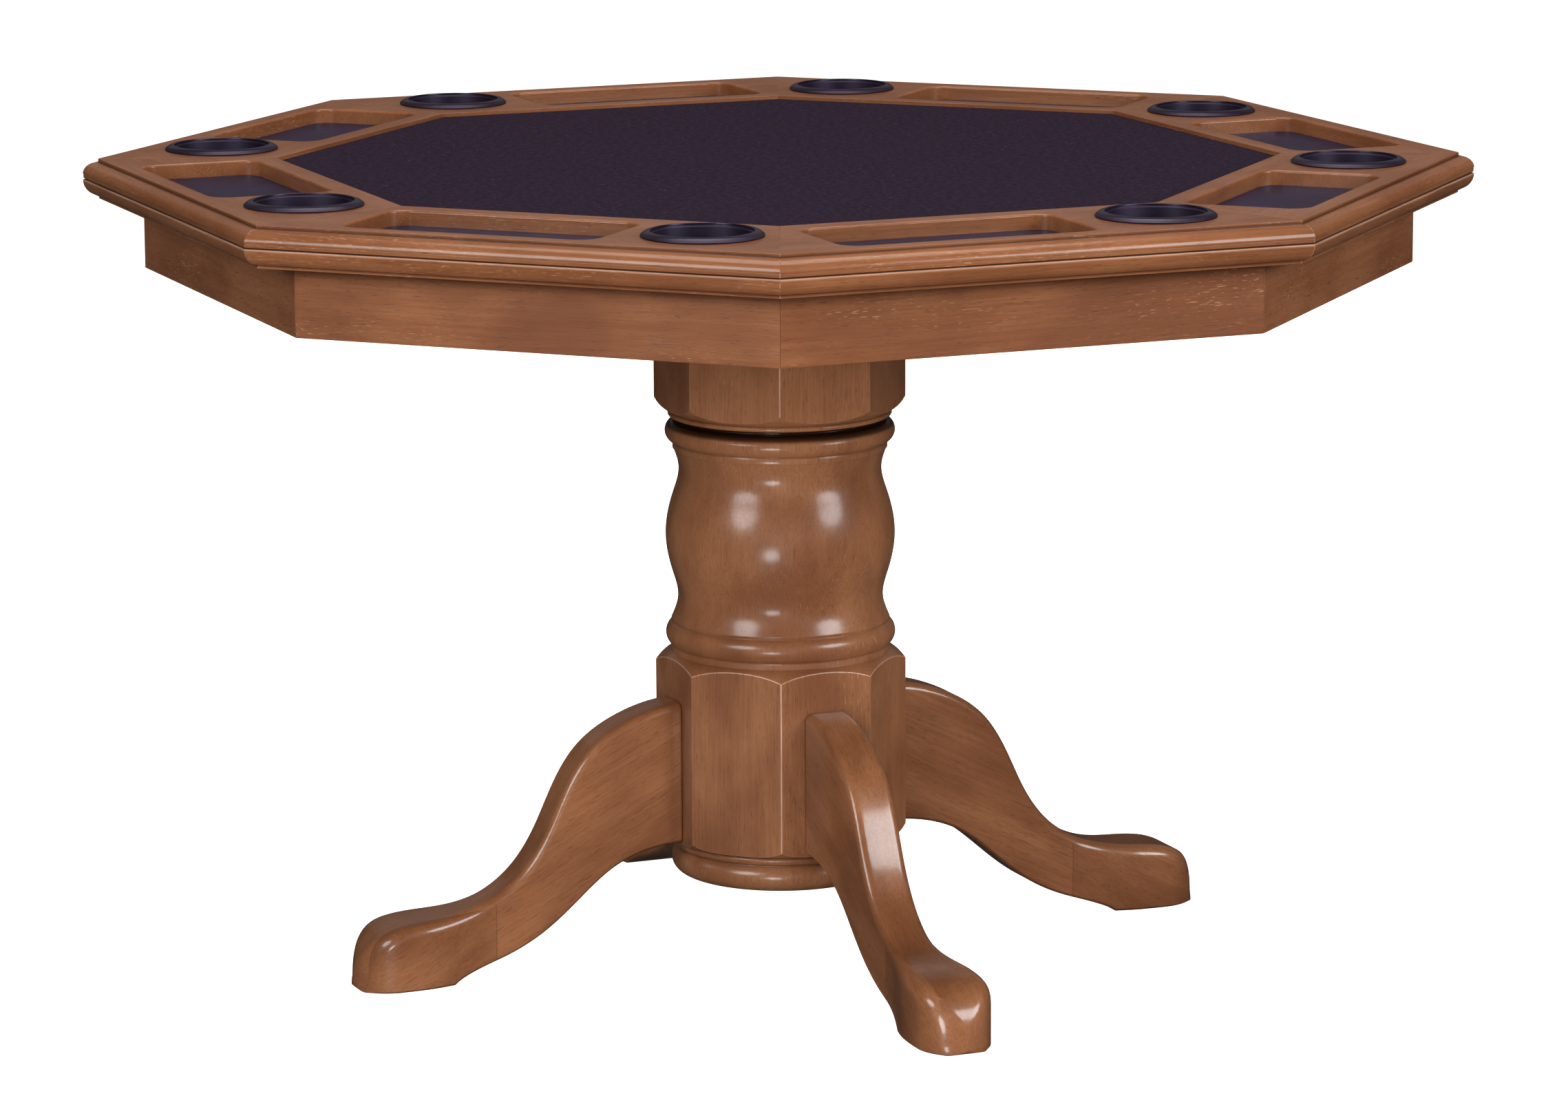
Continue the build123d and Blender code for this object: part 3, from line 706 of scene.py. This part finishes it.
def rail_shell(upper):
    """One rail. An upper rail has the tray and the cup's hole; a lower rail is its mirror image in the
    joint, with a plain face and only a pocket for the cup."""
    shell = Shell()
    profile = rail_profile(upper)
    shell.grid(rail_strip(profile))
    shell.grid(rail_strip(between((FIELD, MIDDLE), (FIELD, TOP), 3)))
    joint = profile[-1, 0]
    if upper:
        sunk_half(shell, EDGE_FLAT, TOP, False, tray_loops(), True)
        sunk_half(shell, EDGE_FLAT, TOP, True, hole_loops(TOP, MIDDLE), False)
        sunk_half(shell, joint, MIDDLE, True, hole_loops(MIDDLE), False)
    else:
        flat_half(shell, EDGE_FLAT, TOP, False)
        flat_half(shell, EDGE_FLAT, TOP, True)
        sunk_half(shell, joint, MIDDLE, True, hole_loops(MIDDLE, MIDDLE + POCKET_DEPTH), True)
    flat_half(shell, joint, MIDDLE, False)
    for side in (-1, 1):
        outline = joined(
            between((FIELD, TOP), (EDGE_FLAT, TOP), STEPS + 1),
            profile,
            between((joint, MIDDLE), (FIELD, MIDDLE), STEPS + 1),
            between((FIELD, MIDDLE), (FIELD, TOP), 3),
        )[:-1]
        shell.cap(np.stack([outline[:, 0], side * outline[:, 0] * MITRE, outline[:, 1]], 1))
    if not upper:
        shell.points = [points * (1, 1, -1) + (0, 0, 2 * MIDDLE) for points in shell.points]
    return shell


def make_rails():
    """Both layers of rails, each rail with its fibres along its length."""
    for layer, upper, board in (("upper_rail", True, 1.5), ("lower_rail", False, 21)):
        def finish(mesh, angle, side):
            wooden(mesh, angle, (0, 1, 0), side + board, rail_painted_shade, rail_painted_highlight)
        round_the_table(layer, "carved", rail_shell(upper), rail_wood, ease=ARRIS, finish=finish)


# ---------------------------------------------------------------- field, liners, cups

def make_cloth():
    """Felt stretched over the field: flat, turned down at its edge, with a flat back."""
    low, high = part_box("playfield_cloth")
    reach, edge, steps = high.x, 2.2 * MM, 14
    rings = [(reach * share, high.z) for share in (0.02, 0.2, 0.4, 0.6, 0.8, 0.95)]
    turn = np.linspace(0, math.pi / 2, 7)
    rings += [(reach - edge * (1 - math.sin(a)), high.z - edge * (1 - math.cos(a))) for a in turn]
    rings += [(reach, low.z)] + [(reach * share, low.z) for share in (0.7, 0.4, 0.02)]
    shell = Shell()
    loops = [at_height(octagon_loop(apothem, steps), height) for apothem, height in rings]
    shell.grid(np.stack(loops), wrap=True)
    shell.cap(loops[0])
    shell.cap(loops[-1])
    cloth = piece("field_cloth", shell.mesh("field_cloth"), felt_cloth, "top", ["playfield_cloth"])


def make_liners():
    """Thin smooth inserts on the floors of the trays, with a small turned-up edge."""
    low, high = (LINER_LOW.x, LINER_LOW.y), (LINER_HIGH.x, LINER_HIGH.y)
    radius, edge = TRAY_CORNER - LINER_GAP, 0.7 * MM
    rows = [(-6 * edge, -0.2 * MM), (-2 * edge, 0.0)]
    rows += [(-edge * (1 - math.sin(a)), -edge * (1 - math.cos(a))) for a in np.linspace(0, math.pi / 2, 4)]
    loops = [
        at_height(rounded_loop(low, high, radius, STEPS, outset), LINER_HIGH.z + drop)
        for outset, drop in rows
    ]
    loops.append(at_height(rounded_loop(low, high, radius, STEPS), LINER_LOW.z))
    shell = Shell()
    shell.grid(np.stack(loops), wrap=True)
    shell.cap(loops[0])
    shell.cap(loops[-1])
    round_the_table("tray_liner", "smooth", shell, liner_plastic)


def cup_profile():
    """Half section of a cup, in millimetres until it is returned: from the middle of its floor up the
    inside, over the lip, down the sloping rim and down the outside."""
    rim, body, middle = (CUP_HIGH.x - CUP_LOW.x) / 2 / MM, 46, 1.5
    foot, lip, rail = CUP_LOW.z / MM, CUP_HIGH.z / MM, TOP / MM
    floor, step = foot + 2, lip - 3
    inside = joined(
        np.array([[middle, floor], [39.5, floor]]),
        arc_through((39.5, floor), (42.2, floor + 1.1), (43.25, floor + 3.6), 6),
        between((43.25, floor + 3.6), (43.75, step - 0.5), 4),
        arc_through((43.75, step - 0.5), (43.92, step - 0.12), (44.3, step), 4),
        between((44.3, step), (45.0, step + 0.25), 2),
    )
    over = joined(
        between((45.0, step + 0.25), (45.05, lip - 0.75), 3),
        arc_through((45.05, lip - 0.75), (45.3, lip - 0.15), (45.9, lip), 5),
        arc_through((45.9, lip), (50.2, lip - 0.95), (rim - 0.5, rail + 1.6), 14),
        arc_through((rim - 0.5, rail + 1.6), (rim, rail + 1.0), (rim - 0.45, rail + 0.35), 6),
    )
    outside = joined(
        np.array([[rim - 0.45, rail + 0.35], [rim - 1.6, rail], [body, rail]]),
        between((body, rail - 0.01), (45.4, foot + 1.2), 4),
        arc_through((45.4, foot + 1.2), (45.0, foot + 0.3), (44.2, foot), 5),
        np.array([[44.2, foot], [middle, foot]]),
    )
    return MM * np.concatenate([inside, over[1:], outside[1:]])


def make_cups():
    """Cups turned about their own axes."""
    profile = cup_profile()
    angle = np.linspace(0, 2 * math.pi, 96, endpoint=False)
    rings = np.stack([
        CUP_PLACE.x + profile[:, :1] * np.cos(angle),
        CUP_PLACE.y + profile[:, :1] * np.sin(angle),
        np.broadcast_to(profile[:, 1:], (len(profile), len(angle))),
    ], 2)
    shell = Shell()
    shell.grid(rings, wrap=True)
    shell.cap(rings[0])
    shell.cap(rings[-1])
    round_the_table("cup", "moulded", shell, cup_plastic, body="cup_body_{}")


# ---------------------------------------------------------------- apron

def apron_painted_shadow(local):
    """Painted shadow close under the rails, fading out below."""
    start, fade = RAIL_LOW.z - LAYER - 3 * MM, 14 * MM
    return 0.8 * np.clip(1 - (start - local[:, 2]) / fade, 0, 1)


def make_aprons():
    """Boards mitred into a frame, with eased edges."""
    low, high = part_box("apron_1")
    corners = [(low.x, low.z), (high.x, low.z), (high.x, high.z), (low.x, high.z)]
    outline = closed_loop(corners, 12)
    share = np.linspace(-1, 1, 2 * STEPS + 1)[None, :]
    out, height = outline[:, :1], outline[:, 1:]
    rows = np.stack([out + 0 * share, out * MITRE * share, height + 0 * share], 2)
    shell = Shell()
    shell.grid(np.swapaxes(rows, 0, 1), wrap=True)
    shell.cap(rows[:, 0])
    shell.cap(rows[:, -1])

    def finish(mesh, angle, side):
        wooden(mesh, angle, (0, 1, 0.012), 40 + side, apron_painted_shadow)
    round_the_table("apron", "board", shell, apron_wood, "base", APRON_ARRIS, finish)


# ---------------------------------------------------------------- column

COLUMN_LOW, COLUMN_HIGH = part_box("column")
FLATS = COLUMN_HIGH.x
BORE = 55 * MM
RIDGE = 1.3 * MM  # rounding of the block's corners
# how bright the painted highlight on each corner of the blocks is, from +X round; the brightest is on the
# corner that faces the camera
RIDGE_HIGHLIGHT = np.array([0.10, 0.30, 0.08, 0.15, 0.10, 0.60, 0.08, 0.20])

# the turned shoulders that cut the blocks: under the upper one, above the lower one and under it
SHOULDERS = (
    MM * joined(
        arc_through((105.6, 525.4), (108.8, 526.5), (111.4, 528.2), 30),
        arc_through((111.4, 528.2), (117.4, 533.0), (121.4, 539.0), 30),
    ),
    MM * arc_through((104.9, 291.8), (112.6, 287.6), (121.4, 279.6), 50),
    MM * arc_through((106.5, 109.6), (116.4, 112.8), (121.4, 119.0), 40),
)


def block_angles():
    """Directions about the column: even steps over each flat, close steps over each rounded corner."""
    tangent = math.atan((FLATS - RIDGE) * MITRE / FLATS)
    beside = 0.5 * MM / FLATS
    flat = np.concatenate([[-tangent], np.linspace(beside - tangent, tangent - beside, 21), [tangent]])
    corner = np.linspace(tangent, SECTOR - tangent, 6)[1:-1]
    return np.concatenate([np.concatenate([flat, corner]) + SECTOR * side for side in range(SIDES)])


def block_radius(angle):
    """Distance from the axis to the octagonal block's face, or to the small round between two faces."""
    off_flat = (angle + SECTOR / 2) % SECTOR - SECTOR / 2
    off_corner = angle % SECTOR - SECTOR / 2
    centre = (FLATS - RIDGE) / math.cos(SECTOR / 2)
    inside = np.maximum(RIDGE**2 - (centre * np.sin(off_corner)) ** 2, 0)
    on_round = np.abs(off_flat) > math.atan((FLATS - RIDGE) * MITRE / FLATS)
    return np.where(on_round, centre * np.cos(off_corner) + np.sqrt(inside), FLATS / np.cos(off_flat))


def meeting(curve, limit):
    """Where a turned shoulder of rising radius meets the block: a place along its curve per direction."""
    return np.interp(limit, curve[:, 0], np.arange(len(curve)))


def along_curve(curve, at):
    """Points of a curve at fractional point numbers, for whole arrays of them."""
    number = np.arange(len(curve))
    return np.interp(at, number, curve[:, 0]), np.interp(at, number, curve[:, 1])


def shoulder_rows(curve, limit, count, ease):
    """Rows of a shoulder from its thin end to where it meets the flats, then over the eased arris onto the
    flats.

    The arris is a quadratic curve whose middle control point is the sharp meeting point."""
    met = meeting(curve, limit)
    spacing = np.linalg.norm(np.diff(curve, axis=0), axis=1).mean()
    near = met - ease / spacing
    rows = [along_curve(curve, share * near) for share in np.linspace(0, 1, count)]
    sharp, start = along_curve(curve, met), rows[-1]
    end = (limit, sharp[1] + np.sign(curve[-1, 1] - curve[0, 1]) * ease)
    for t in (0.33, 0.67, 1.0):
        weights = ((1 - t) ** 2, 2 * t * (1 - t), t**2)
        points = zip(start, sharp, end)
        rows.append(tuple(weights[0] * a + weights[1] * b + weights[2] * c for a, b, c in points))
    return rows


def column_rows(limit):
    """Rows (radius, height) of the column from its top to its foot, for each direction about it."""
    top_shoulder, low_shoulder, foot_shoulder = SHOULDERS
    vase = [
        (101.9, 488.0), (97.2, 470.0), (103.2, 443.0), (110.0, 405.5),
        (104.2, 370.5), (98.5, 343.0), (105.0, 322.0),
    ]
    upper = MM * joined(
        np.array([(105.6, 525.4), (104.9, 524.9)]),
        arc_through((104.9, 524.9), (107.3, 522.5), (104.6, 519.6), 12),
        np.array([(104.6, 519.6), (101.0, 519.2), (98.5, 517.6), (100.4, 516.2)]),
        arc_through((100.4, 516.2), (110.2, 505.8), (102.6, 494.6), 20),
        np.array([(102.6, 494.6), (101.8, 494.0), (102.9, 493.2), (102.9, 488.8), (101.9, 488.0)]),
        smooth_curve(vase, np.linspace(0, 6, 72)),
        np.array([(105.0, 322.0), (103.4, 320.6)]),
        arc_through((103.4, 320.6), (110.3, 308.8), (104.0, 297.2), 20),
        np.array([(104.0, 297.2), (104.9, 296.0), (104.9, 291.8)]),
    )
    foot = MM * joined(
        np.array([(106.5, 109.6), (102.6, 108.8)]),
        arc_through((102.6, 108.8), (105.2, 104.6), (101.0, 100.6), 10),
        np.array([(101.0, 100.6), (99.4, 99.6)]),
        arc_through((99.4, 99.6), (106.4, 88.0), (97.0, 74.5), 20),
        between((97.0, 74.5), (BORE / MM, 74.5), 4),
        between((BORE / MM, 74.5), (BORE / MM, COLUMN_HIGH.z / MM), 4),
    )
    everywhere = np.ones_like(limit)
    rows = [(limit, COLUMN_HIGH.z * everywhere)]
    upper_block = shoulder_rows(top_shoulder, limit, 12, 0.7 * MM)[::-1]
    rows += [(limit, (1 - s) * COLUMN_HIGH.z + s * upper_block[0][1]) for s in (0.3, 0.6, 0.9, 0.98)]
    rows += upper_block
    rows += [(radius * everywhere, height * everywhere) for radius, height in upper[1:]]
    block_top = shoulder_rows(low_shoulder, limit, 12, 0.9 * MM)
    block_foot = shoulder_rows(foot_shoulder, limit, 10, 0.7 * MM)[::-1]
    rows += block_top[1:]
    face_top, face_foot = block_top[-1][1], block_foot[0][1]
    rows += [(limit, (1 - s) * face_top + s * face_foot) for s in (0.01, 0.1, 0.3, 0.5, 0.7, 0.9, 0.99)]
    rows += block_foot
    rows += [(radius * everywhere, height * everywhere) for radius, height in foot[1:]]
    return rows


def column_painted_shade(rows):
    """Painted shade where the column is thinner than its average over a short length on either side, and
    under the upper block's bead.
    """
    radius = np.array([row[0].min() for row in rows])
    height = np.array([row[1].mean() for row in rows])
    outer = radius > 90 * MM
    step, reach = 0.5 * MM, 15  # heights compared, and how many of them on either side
    levels = np.arange(COLUMN_LOW.z, COLUMN_HIGH.z, step)
    order = np.argsort(height[outer])
    even = np.interp(levels, height[outer][order], radius[outer][order])
    window = np.hanning(2 * reach + 1)
    window /= window.sum()
    average = np.convolve(np.pad(even, reach, mode="edge"), window, mode="valid")
    hollow = np.clip((average - even) / (5 * MM), 0, 0.7)
    # the shade under the upper block's bead, by height
    shade = [(0, 0), (0.5085, 0), (0.5120, 0.85), (0.5150, 1), (0.5196, 1), (0.5202, 0), (1, 0)]

    def painted_shade_and_glue_line(local):
        under_bead = np.interp(local[:, 2], *np.transpose(shade))
        return np.maximum(np.interp(local[:, 2], levels, hollow) ** 1.3, under_bead)

    return painted_shade_and_glue_line


def column_painted_highlight(local):
    """Painted highlights on the corners of the octagonal blocks, brightest on the corner facing the camera,
    and on the curved arrises where shoulders cut the flats."""
    angle = np.arctan2(local[:, 1], local[:, 0])
    radius = np.hypot(local[:, 0], local[:, 1])
    limit = block_radius(angle)
    corner = np.abs(angle % SECTOR - SECTOR / 2) * radius < 0.45 * RIDGE
    ridge = corner & (np.abs(radius - limit) < 0.15 * MM)
    wear_and_painted_highlight = ridge * RIDGE_HIGHLIGHT[(angle // SECTOR % SIDES).astype(int)]
    for curve, painted_highlight in zip(SHOULDERS, (0.10, 0.42, 0.2)):
        met = along_curve(curve, meeting(curve, limit))[1]
        on_arris = (np.abs(local[:, 2] - met) < 0.55 * MM) & (limit - radius < 0.7 * MM)
        wear_and_painted_highlight = np.maximum(wear_and_painted_highlight, painted_highlight * on_arris)
    return wear_and_painted_highlight


def make_column():
    """A turned surface cut by an octagonal prism: in each direction the radius is the smaller of the two."""
    angle = block_angles()
    rows = column_rows(block_radius(angle))
    radius = np.stack([row[0] for row in rows])
    height = np.stack([row[1] for row in rows])
    shell = Shell()
    rings = np.stack([radius * np.cos(angle), radius * np.sin(angle), height], 2)
    shell.grid(np.concatenate([rings, rings[:1]]), wrap=True)
    mesh = shell.mesh("column_turned")
    wooden(mesh, 0.0, (0, 0, 1), 60, column_painted_shade(rows), column_painted_highlight)
    piece("column_turned", mesh, column_wood, "base", ["column"])


# ---------------------------------------------------------------- legs

LEG_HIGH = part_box("leg_1")[1]
LEG_TOP_EDGE = [
    (111.2, 250.5), (160.0, 239.6), (206.0, 211.0), (232.5, 171.0), (250.5, 133.5), (277.5, 97.0),
    (315.0, 74.0), (360.0, 65.0), (395.0, 61.5), (421.0, 51.0), (434.5, 31.0), (439.0, 6.0),
]
LEG_UNDER_EDGE = [
    (111.2, 114.5), (152.0, 108.5), (180.0, 97.0), (213.0, 72.0), (254.0, 39.5), (295.0, 19.5),
    (331.0, 7.5), (346.0, 0),
]
LEG_HALF = 22 * MM
LEG_ROUND = 8 * MM
FOOT_ROUND = 12 * MM
UNDER_ROUND = 2.5 * MM
HEEL = 399 * MM
LEG_END = 1.2 * MM  # easing of the leg's end against the column


def leg_half_width(out):
    """Half of a leg's width at a distance from the axis: straight, then swelling to the foot, then the
    round toe."""
    wide, toe = LEG_HIGH.y, LEG_HIGH.x
    keys = np.array([(300, LEG_HALF / MM), (335, 27.0), (368, 34.5), (HEEL / MM, wide / MM)])
    fine = smooth_curve(keys, np.linspace(0, 3, 90), (1, 0), (1, 0)) * MM
    width = np.interp(out, fine[:, 0], fine[:, 1])
    share = np.clip((out - HEEL) / (toe - HEEL), 0, 1)
    return np.where(out > HEEL, wide * np.sqrt(1 - share**2), width)


def leg_outlines():
    """Matching points of a leg's top edge and underside, from the column to the tip of the toe."""
    last_top, last_under = len(LEG_TOP_EDGE) - 1, len(LEG_UNDER_EDGE) - 1
    at = joined(
        np.linspace(0, 7, 85), np.linspace(7, 8, 13), np.linspace(8, 10, 25), np.linspace(10, last_top, 13),
    )
    top = smooth_curve(LEG_TOP_EDGE, at, (1, -0.04), (0.06, -1)) * MM
    keys = [
        (0, 0), (2, 1.45), (3, 2.2), (4, 3.0), (5, 4.05), (6, 5.3),
        (7, last_under), (last_top, last_under + 0.93),
    ]
    under_at = np.interp(at, *np.transpose(keys))
    under = smooth_curve(LEG_UNDER_EDGE, np.minimum(under_at, last_under), (1, -0.04), (1, -0.75)) * MM
    tip = np.array([433.0, 0]) * MM
    on_sole = np.clip(under_at - last_under, 0, 1)[:, None]
    under = under + on_sole * (tip - under)
    curl = arc_through((439.0, 6.0), (437.2, 1.8), (433.0, 0), 9)[1:] * MM
    sole_end = between(under[-1], tip, 9)[1:]
    return np.concatenate([top, curl]), np.concatenate([under, sole_end])


def leg_shell():
    """A rounded oblong section carried along the leg from its top edge to its underside.

    In each section a point lies some way down from the top edge to the underside, and some way out to the
    half width that the plan has there. The rounds shrink where the toe leaves too little room for them."""
    top, under = leg_outlines()
    tall = np.linalg.norm(top - under, axis=1)[:, None]
    swell = np.clip((top[:, :1] - 250 * MM) / (130 * MM), 0, 1)
    upper_round = np.minimum(LEG_ROUND + (FOOT_ROUND - LEG_ROUND) * swell, 0.55 * tall)
    lower_round = np.minimum(UNDER_ROUND, 0.2 * tall)
    turn, low_turn = np.linspace(0, math.pi / 2, 9), np.linspace(0, math.pi / 2, 5)
    flat, side, below = np.linspace(0, 1, 6)[:-1], np.linspace(0, 1, 12)[1:-1], np.linspace(1, 0, 4)[1:]

    def part(drop, across, inset):
        """Points at a drop below the top edge; across is the share of the width that an inset leaves."""
        drop = np.broadcast_to(drop, (len(top), drop.shape[-1]))
        share = np.divide(drop, tall, out=np.zeros_like(drop), where=tall > 1e-9)
        out = top[:, :1] + share * (under[:, :1] - top[:, :1])
        height = top[:, 1:] + share * (under[:, 1:] - top[:, 1:])
        half = leg_half_width(out)
        inset = np.minimum(inset, 0.85 * half)
        return out, (half - inset) * across[0] + inset * across[1], height

    zero = np.zeros((1, 1))
    parts = [
        part(zero * flat, (flat, 0 * flat), upper_round),
        part(upper_round * (1 - np.cos(turn)), (1, np.sin(turn)), upper_round),
        part(upper_round + (tall - upper_round - lower_round) * side, (1, 1), upper_round),
        part(tall - lower_round * np.cos(low_turn), (1, np.cos(np.pi / 2 - low_turn[::-1])), lower_round),
        part(tall + zero * below, (below, 0 * below), lower_round),
    ]
    out, across, height = (np.concatenate([p[axis] for p in parts], 1) for axis in range(3))
    half = np.stack([out, across, height], 2)
    mirrored = half[:, -2:0:-1] * (1, -1, 1)
    section = np.concatenate([half, mirrored], 1)
    section[0, :, 0] += LEG_END
    end = section[0] - (LEG_END, 0, 0)
    centre = end.mean(0)
    end = centre + (end - centre) * (1 - LEG_END / np.ptp(end, axis=0).clip(MM) * 2 * np.array([0, 1, 1]))
    section = np.concatenate([end[None], section])
    shell = Shell()
    shell.grid(section, wrap=True)
    shell.cap(section[0])
    return shell


def make_legs():
    """Four legs, their fibres falling towards the foot."""
    shell = leg_shell()
    fall = math.radians(27)
    for leg in range(4):
        name, angle = f"leg_{leg + 1}", 2 * SECTOR * leg
        mesh = shell.mesh(f"{name}_carved", angle)
        wooden(mesh, angle, (math.cos(fall), 0, -math.sin(fall)), 70 + leg)
        piece(f"{name}_carved", mesh, leg_wood, "base", [name])


# ---------------------------------------------------------------- hidden parts

def finish_frame_parts():
    """Finishes of the CAD nodes that keep their own meshes."""
    board = bare_wood("birch plywood board", 0, *PALE)
    finishes = {
        "playfield_board": board,
        "mounting_plate": bare_wood("birch plywood plate", 90, *PALE),
        "beam_lower": bare_wood("pine beam", 0, *PALE),
        "beam_upper": bare_wood("pine cross beam", 90, *PALE),
        "corner_blocks": bare_wood("pine corner blocks", 22.5, *PALE),
        "mitre_splines": board,
        "dining_panel": bare_wood("stained dining veneer", 0, STAIN_LIGHT, STAIN_MIDDLE, STAIN_DARK, 0.35),
        "rest_pads": rubber,
    }
    for name in ("corner_block_screws", "plate_screws", "lag_screws", "leg_bolts", "leg_nuts"):
        finishes[name] = steel
    for name, finish in finishes.items():
        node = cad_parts[name]
        for place in node.material_slots:
            place.material = finish
        if not node.material_slots:
            node.data.materials.append(finish)


# ---------------------------------------------------------------- room

CAMERA_TURN = -112.57
CAMERA_RISE = 10.748
CAMERA_AWAY = 5.6795
CAMERA_AIM = 0.4329
CAMERA_ROLL = -0.258


def direction(turn, rise):
    """Unit vector at a turn about Z from X and a rise above the floor, in degrees."""
    turn, rise = math.radians(turn), math.radians(rise)
    return Vector((math.cos(turn) * math.cos(rise), math.sin(turn) * math.cos(rise), math.sin(rise)))


def make_camera():
    """Long lens from a little above the rail, shifted to centre the table."""
    back = direction(CAMERA_TURN, CAMERA_RISE)
    data = bpy.data.cameras.new("camera")
    data.lens, data.sensor_width = 136.07, 36
    data.shift_x, data.shift_y = 0.0025, -0.0359
    camera = bpy.data.objects.new("camera", data)
    camera.rotation_mode = "QUATERNION"
    camera.location = Vector((0, 0, CAMERA_AIM)) + back * CAMERA_AWAY
    roll = Quaternion((0, 0, 1), math.radians(CAMERA_ROLL))
    camera.rotation_quaternion = back.to_track_quat("Z", "Y") @ roll
    bpy.context.scene.collection.objects.link(camera)
    bpy.context.scene.camera = camera


def soft_light(name, turn, rise, distance, width, height, radiance, aim, colour, mirrored=True):
    """Oval light that faces a point on the table's axis; its power follows from its radiance and its size.
    A light that isn't mirrored leaves no highlight."""
    data = bpy.data.lights.new(name, "AREA")
    data.shape = "ELLIPSE"
    data.color = colour
    data.size, data.size_y = width, height
    data.energy = radiance * math.pi * (math.pi / 4 * width * height)
    light = bpy.data.objects.new(name, data)
    back = direction(turn, rise)
    light.rotation_mode = "QUATERNION"
    light.rotation_quaternion = back.to_track_quat("Z", "Y")
    light.location = Vector((0, 0, aim)) + back * distance
    light.visible_camera = False
    light.visible_glossy = mirrored
    bpy.context.scene.collection.objects.link(light)


COOL = (0.86, 0.94, 1.0)
WARM = (1.0, 0.975, 0.94)


def make_lights():
    """Two softboxes, a low panel and an overhead panel that show in the lacquer, a faint backdrop, and
    plain fills."""
    soft_light("left softbox", CAMERA_TURN - 39, 22, 3.4, 1.6, 1.35, 9.0, 0.45, COOL)
    soft_light("right softbox", CAMERA_TURN + 56, 22, 3.4, 1.6, 1.35, 11.0, 0.45, COOL)
    soft_light("low front panel", CAMERA_TURN - 9, -14, 1.75, 0.40, 0.42, 14.0, 0.42, COOL)
    soft_light("overhead panel", CAMERA_TURN, 86, 2.8, 3.0, 3.0, 3.7, 0.7, WARM)
    soft_light("front fill", CAMERA_TURN + 8, 8, 4.0, 3.0, 1.5, 5.0, 0.45, WARM, False)
    soft_light("backdrop", CAMERA_TURN + 180, 27, 4.5, 6.5, 3.2, 0.16, 0.7, (1.0, 0.97, 1.0))
    for side in (-45, 45):
        soft_light("back fill", CAMERA_TURN + 180 + side, 18, 4.0, 2.5, 2.0, 3.2, 0.45, WARM, False)
    world = bpy.data.worlds.new("studio")
    world.use_nodes = True
    Net(world.node_tree).feed(world.node_tree.nodes["Background"], {"Color": (1, 1, 1, 1), "Strength": 0.03})
    bpy.context.scene.world = world
    view = bpy.context.scene.view_settings
    view.view_transform, view.exposure, view.gamma = "Standard", 0.20, 0.88


def make_floor():
    """Plain pale sweep: one large flat sheet just under the feet."""
    half = 30.0
    corners = [(-half, -half, 0), (half, -half, 0), (half, half, 0), (-half, half, 0)]
    mesh = bpy.data.meshes.new("floor")
    mesh.from_pydata(corners, [], [(0, 1, 2, 3)])
    floor = bpy.data.objects.new("floor", mesh)
    floor.location.z = -0.0005
    floor.visible_glossy = False
    floor.visible_shadow = False
    bpy.context.scene.collection.objects.link(floor)
    material, net, shader = new_material("pale sweep")
    mottle = net.noise(net.object_place(), 3.0, 2)
    seen = net.node("ShaderNodeLightPath").outputs["Is Camera Ray"]
    pale = net.mix(mottle, (0.80, 0.80, 0.80, 1), (0.82, 0.82, 0.82, 1))
    net.feed(shader, {
        "Base Color": net.mix(seen, (0.42, 0.40, 0.38, 1), pale), "Roughness": 0.9,
        "Specular IOR Level": 0.0, "Emission Color": (1, 1, 1, 1),
        "Emission Strength": net.math("MULTIPLY", seen, 0.92),
    })
    mesh.materials.append(material)


make_camera()
make_floor()
make_lights()
make_rails()
make_cloth()
make_liners()
make_cups()
make_aprons()
make_column()
make_legs()
finish_frame_parts()
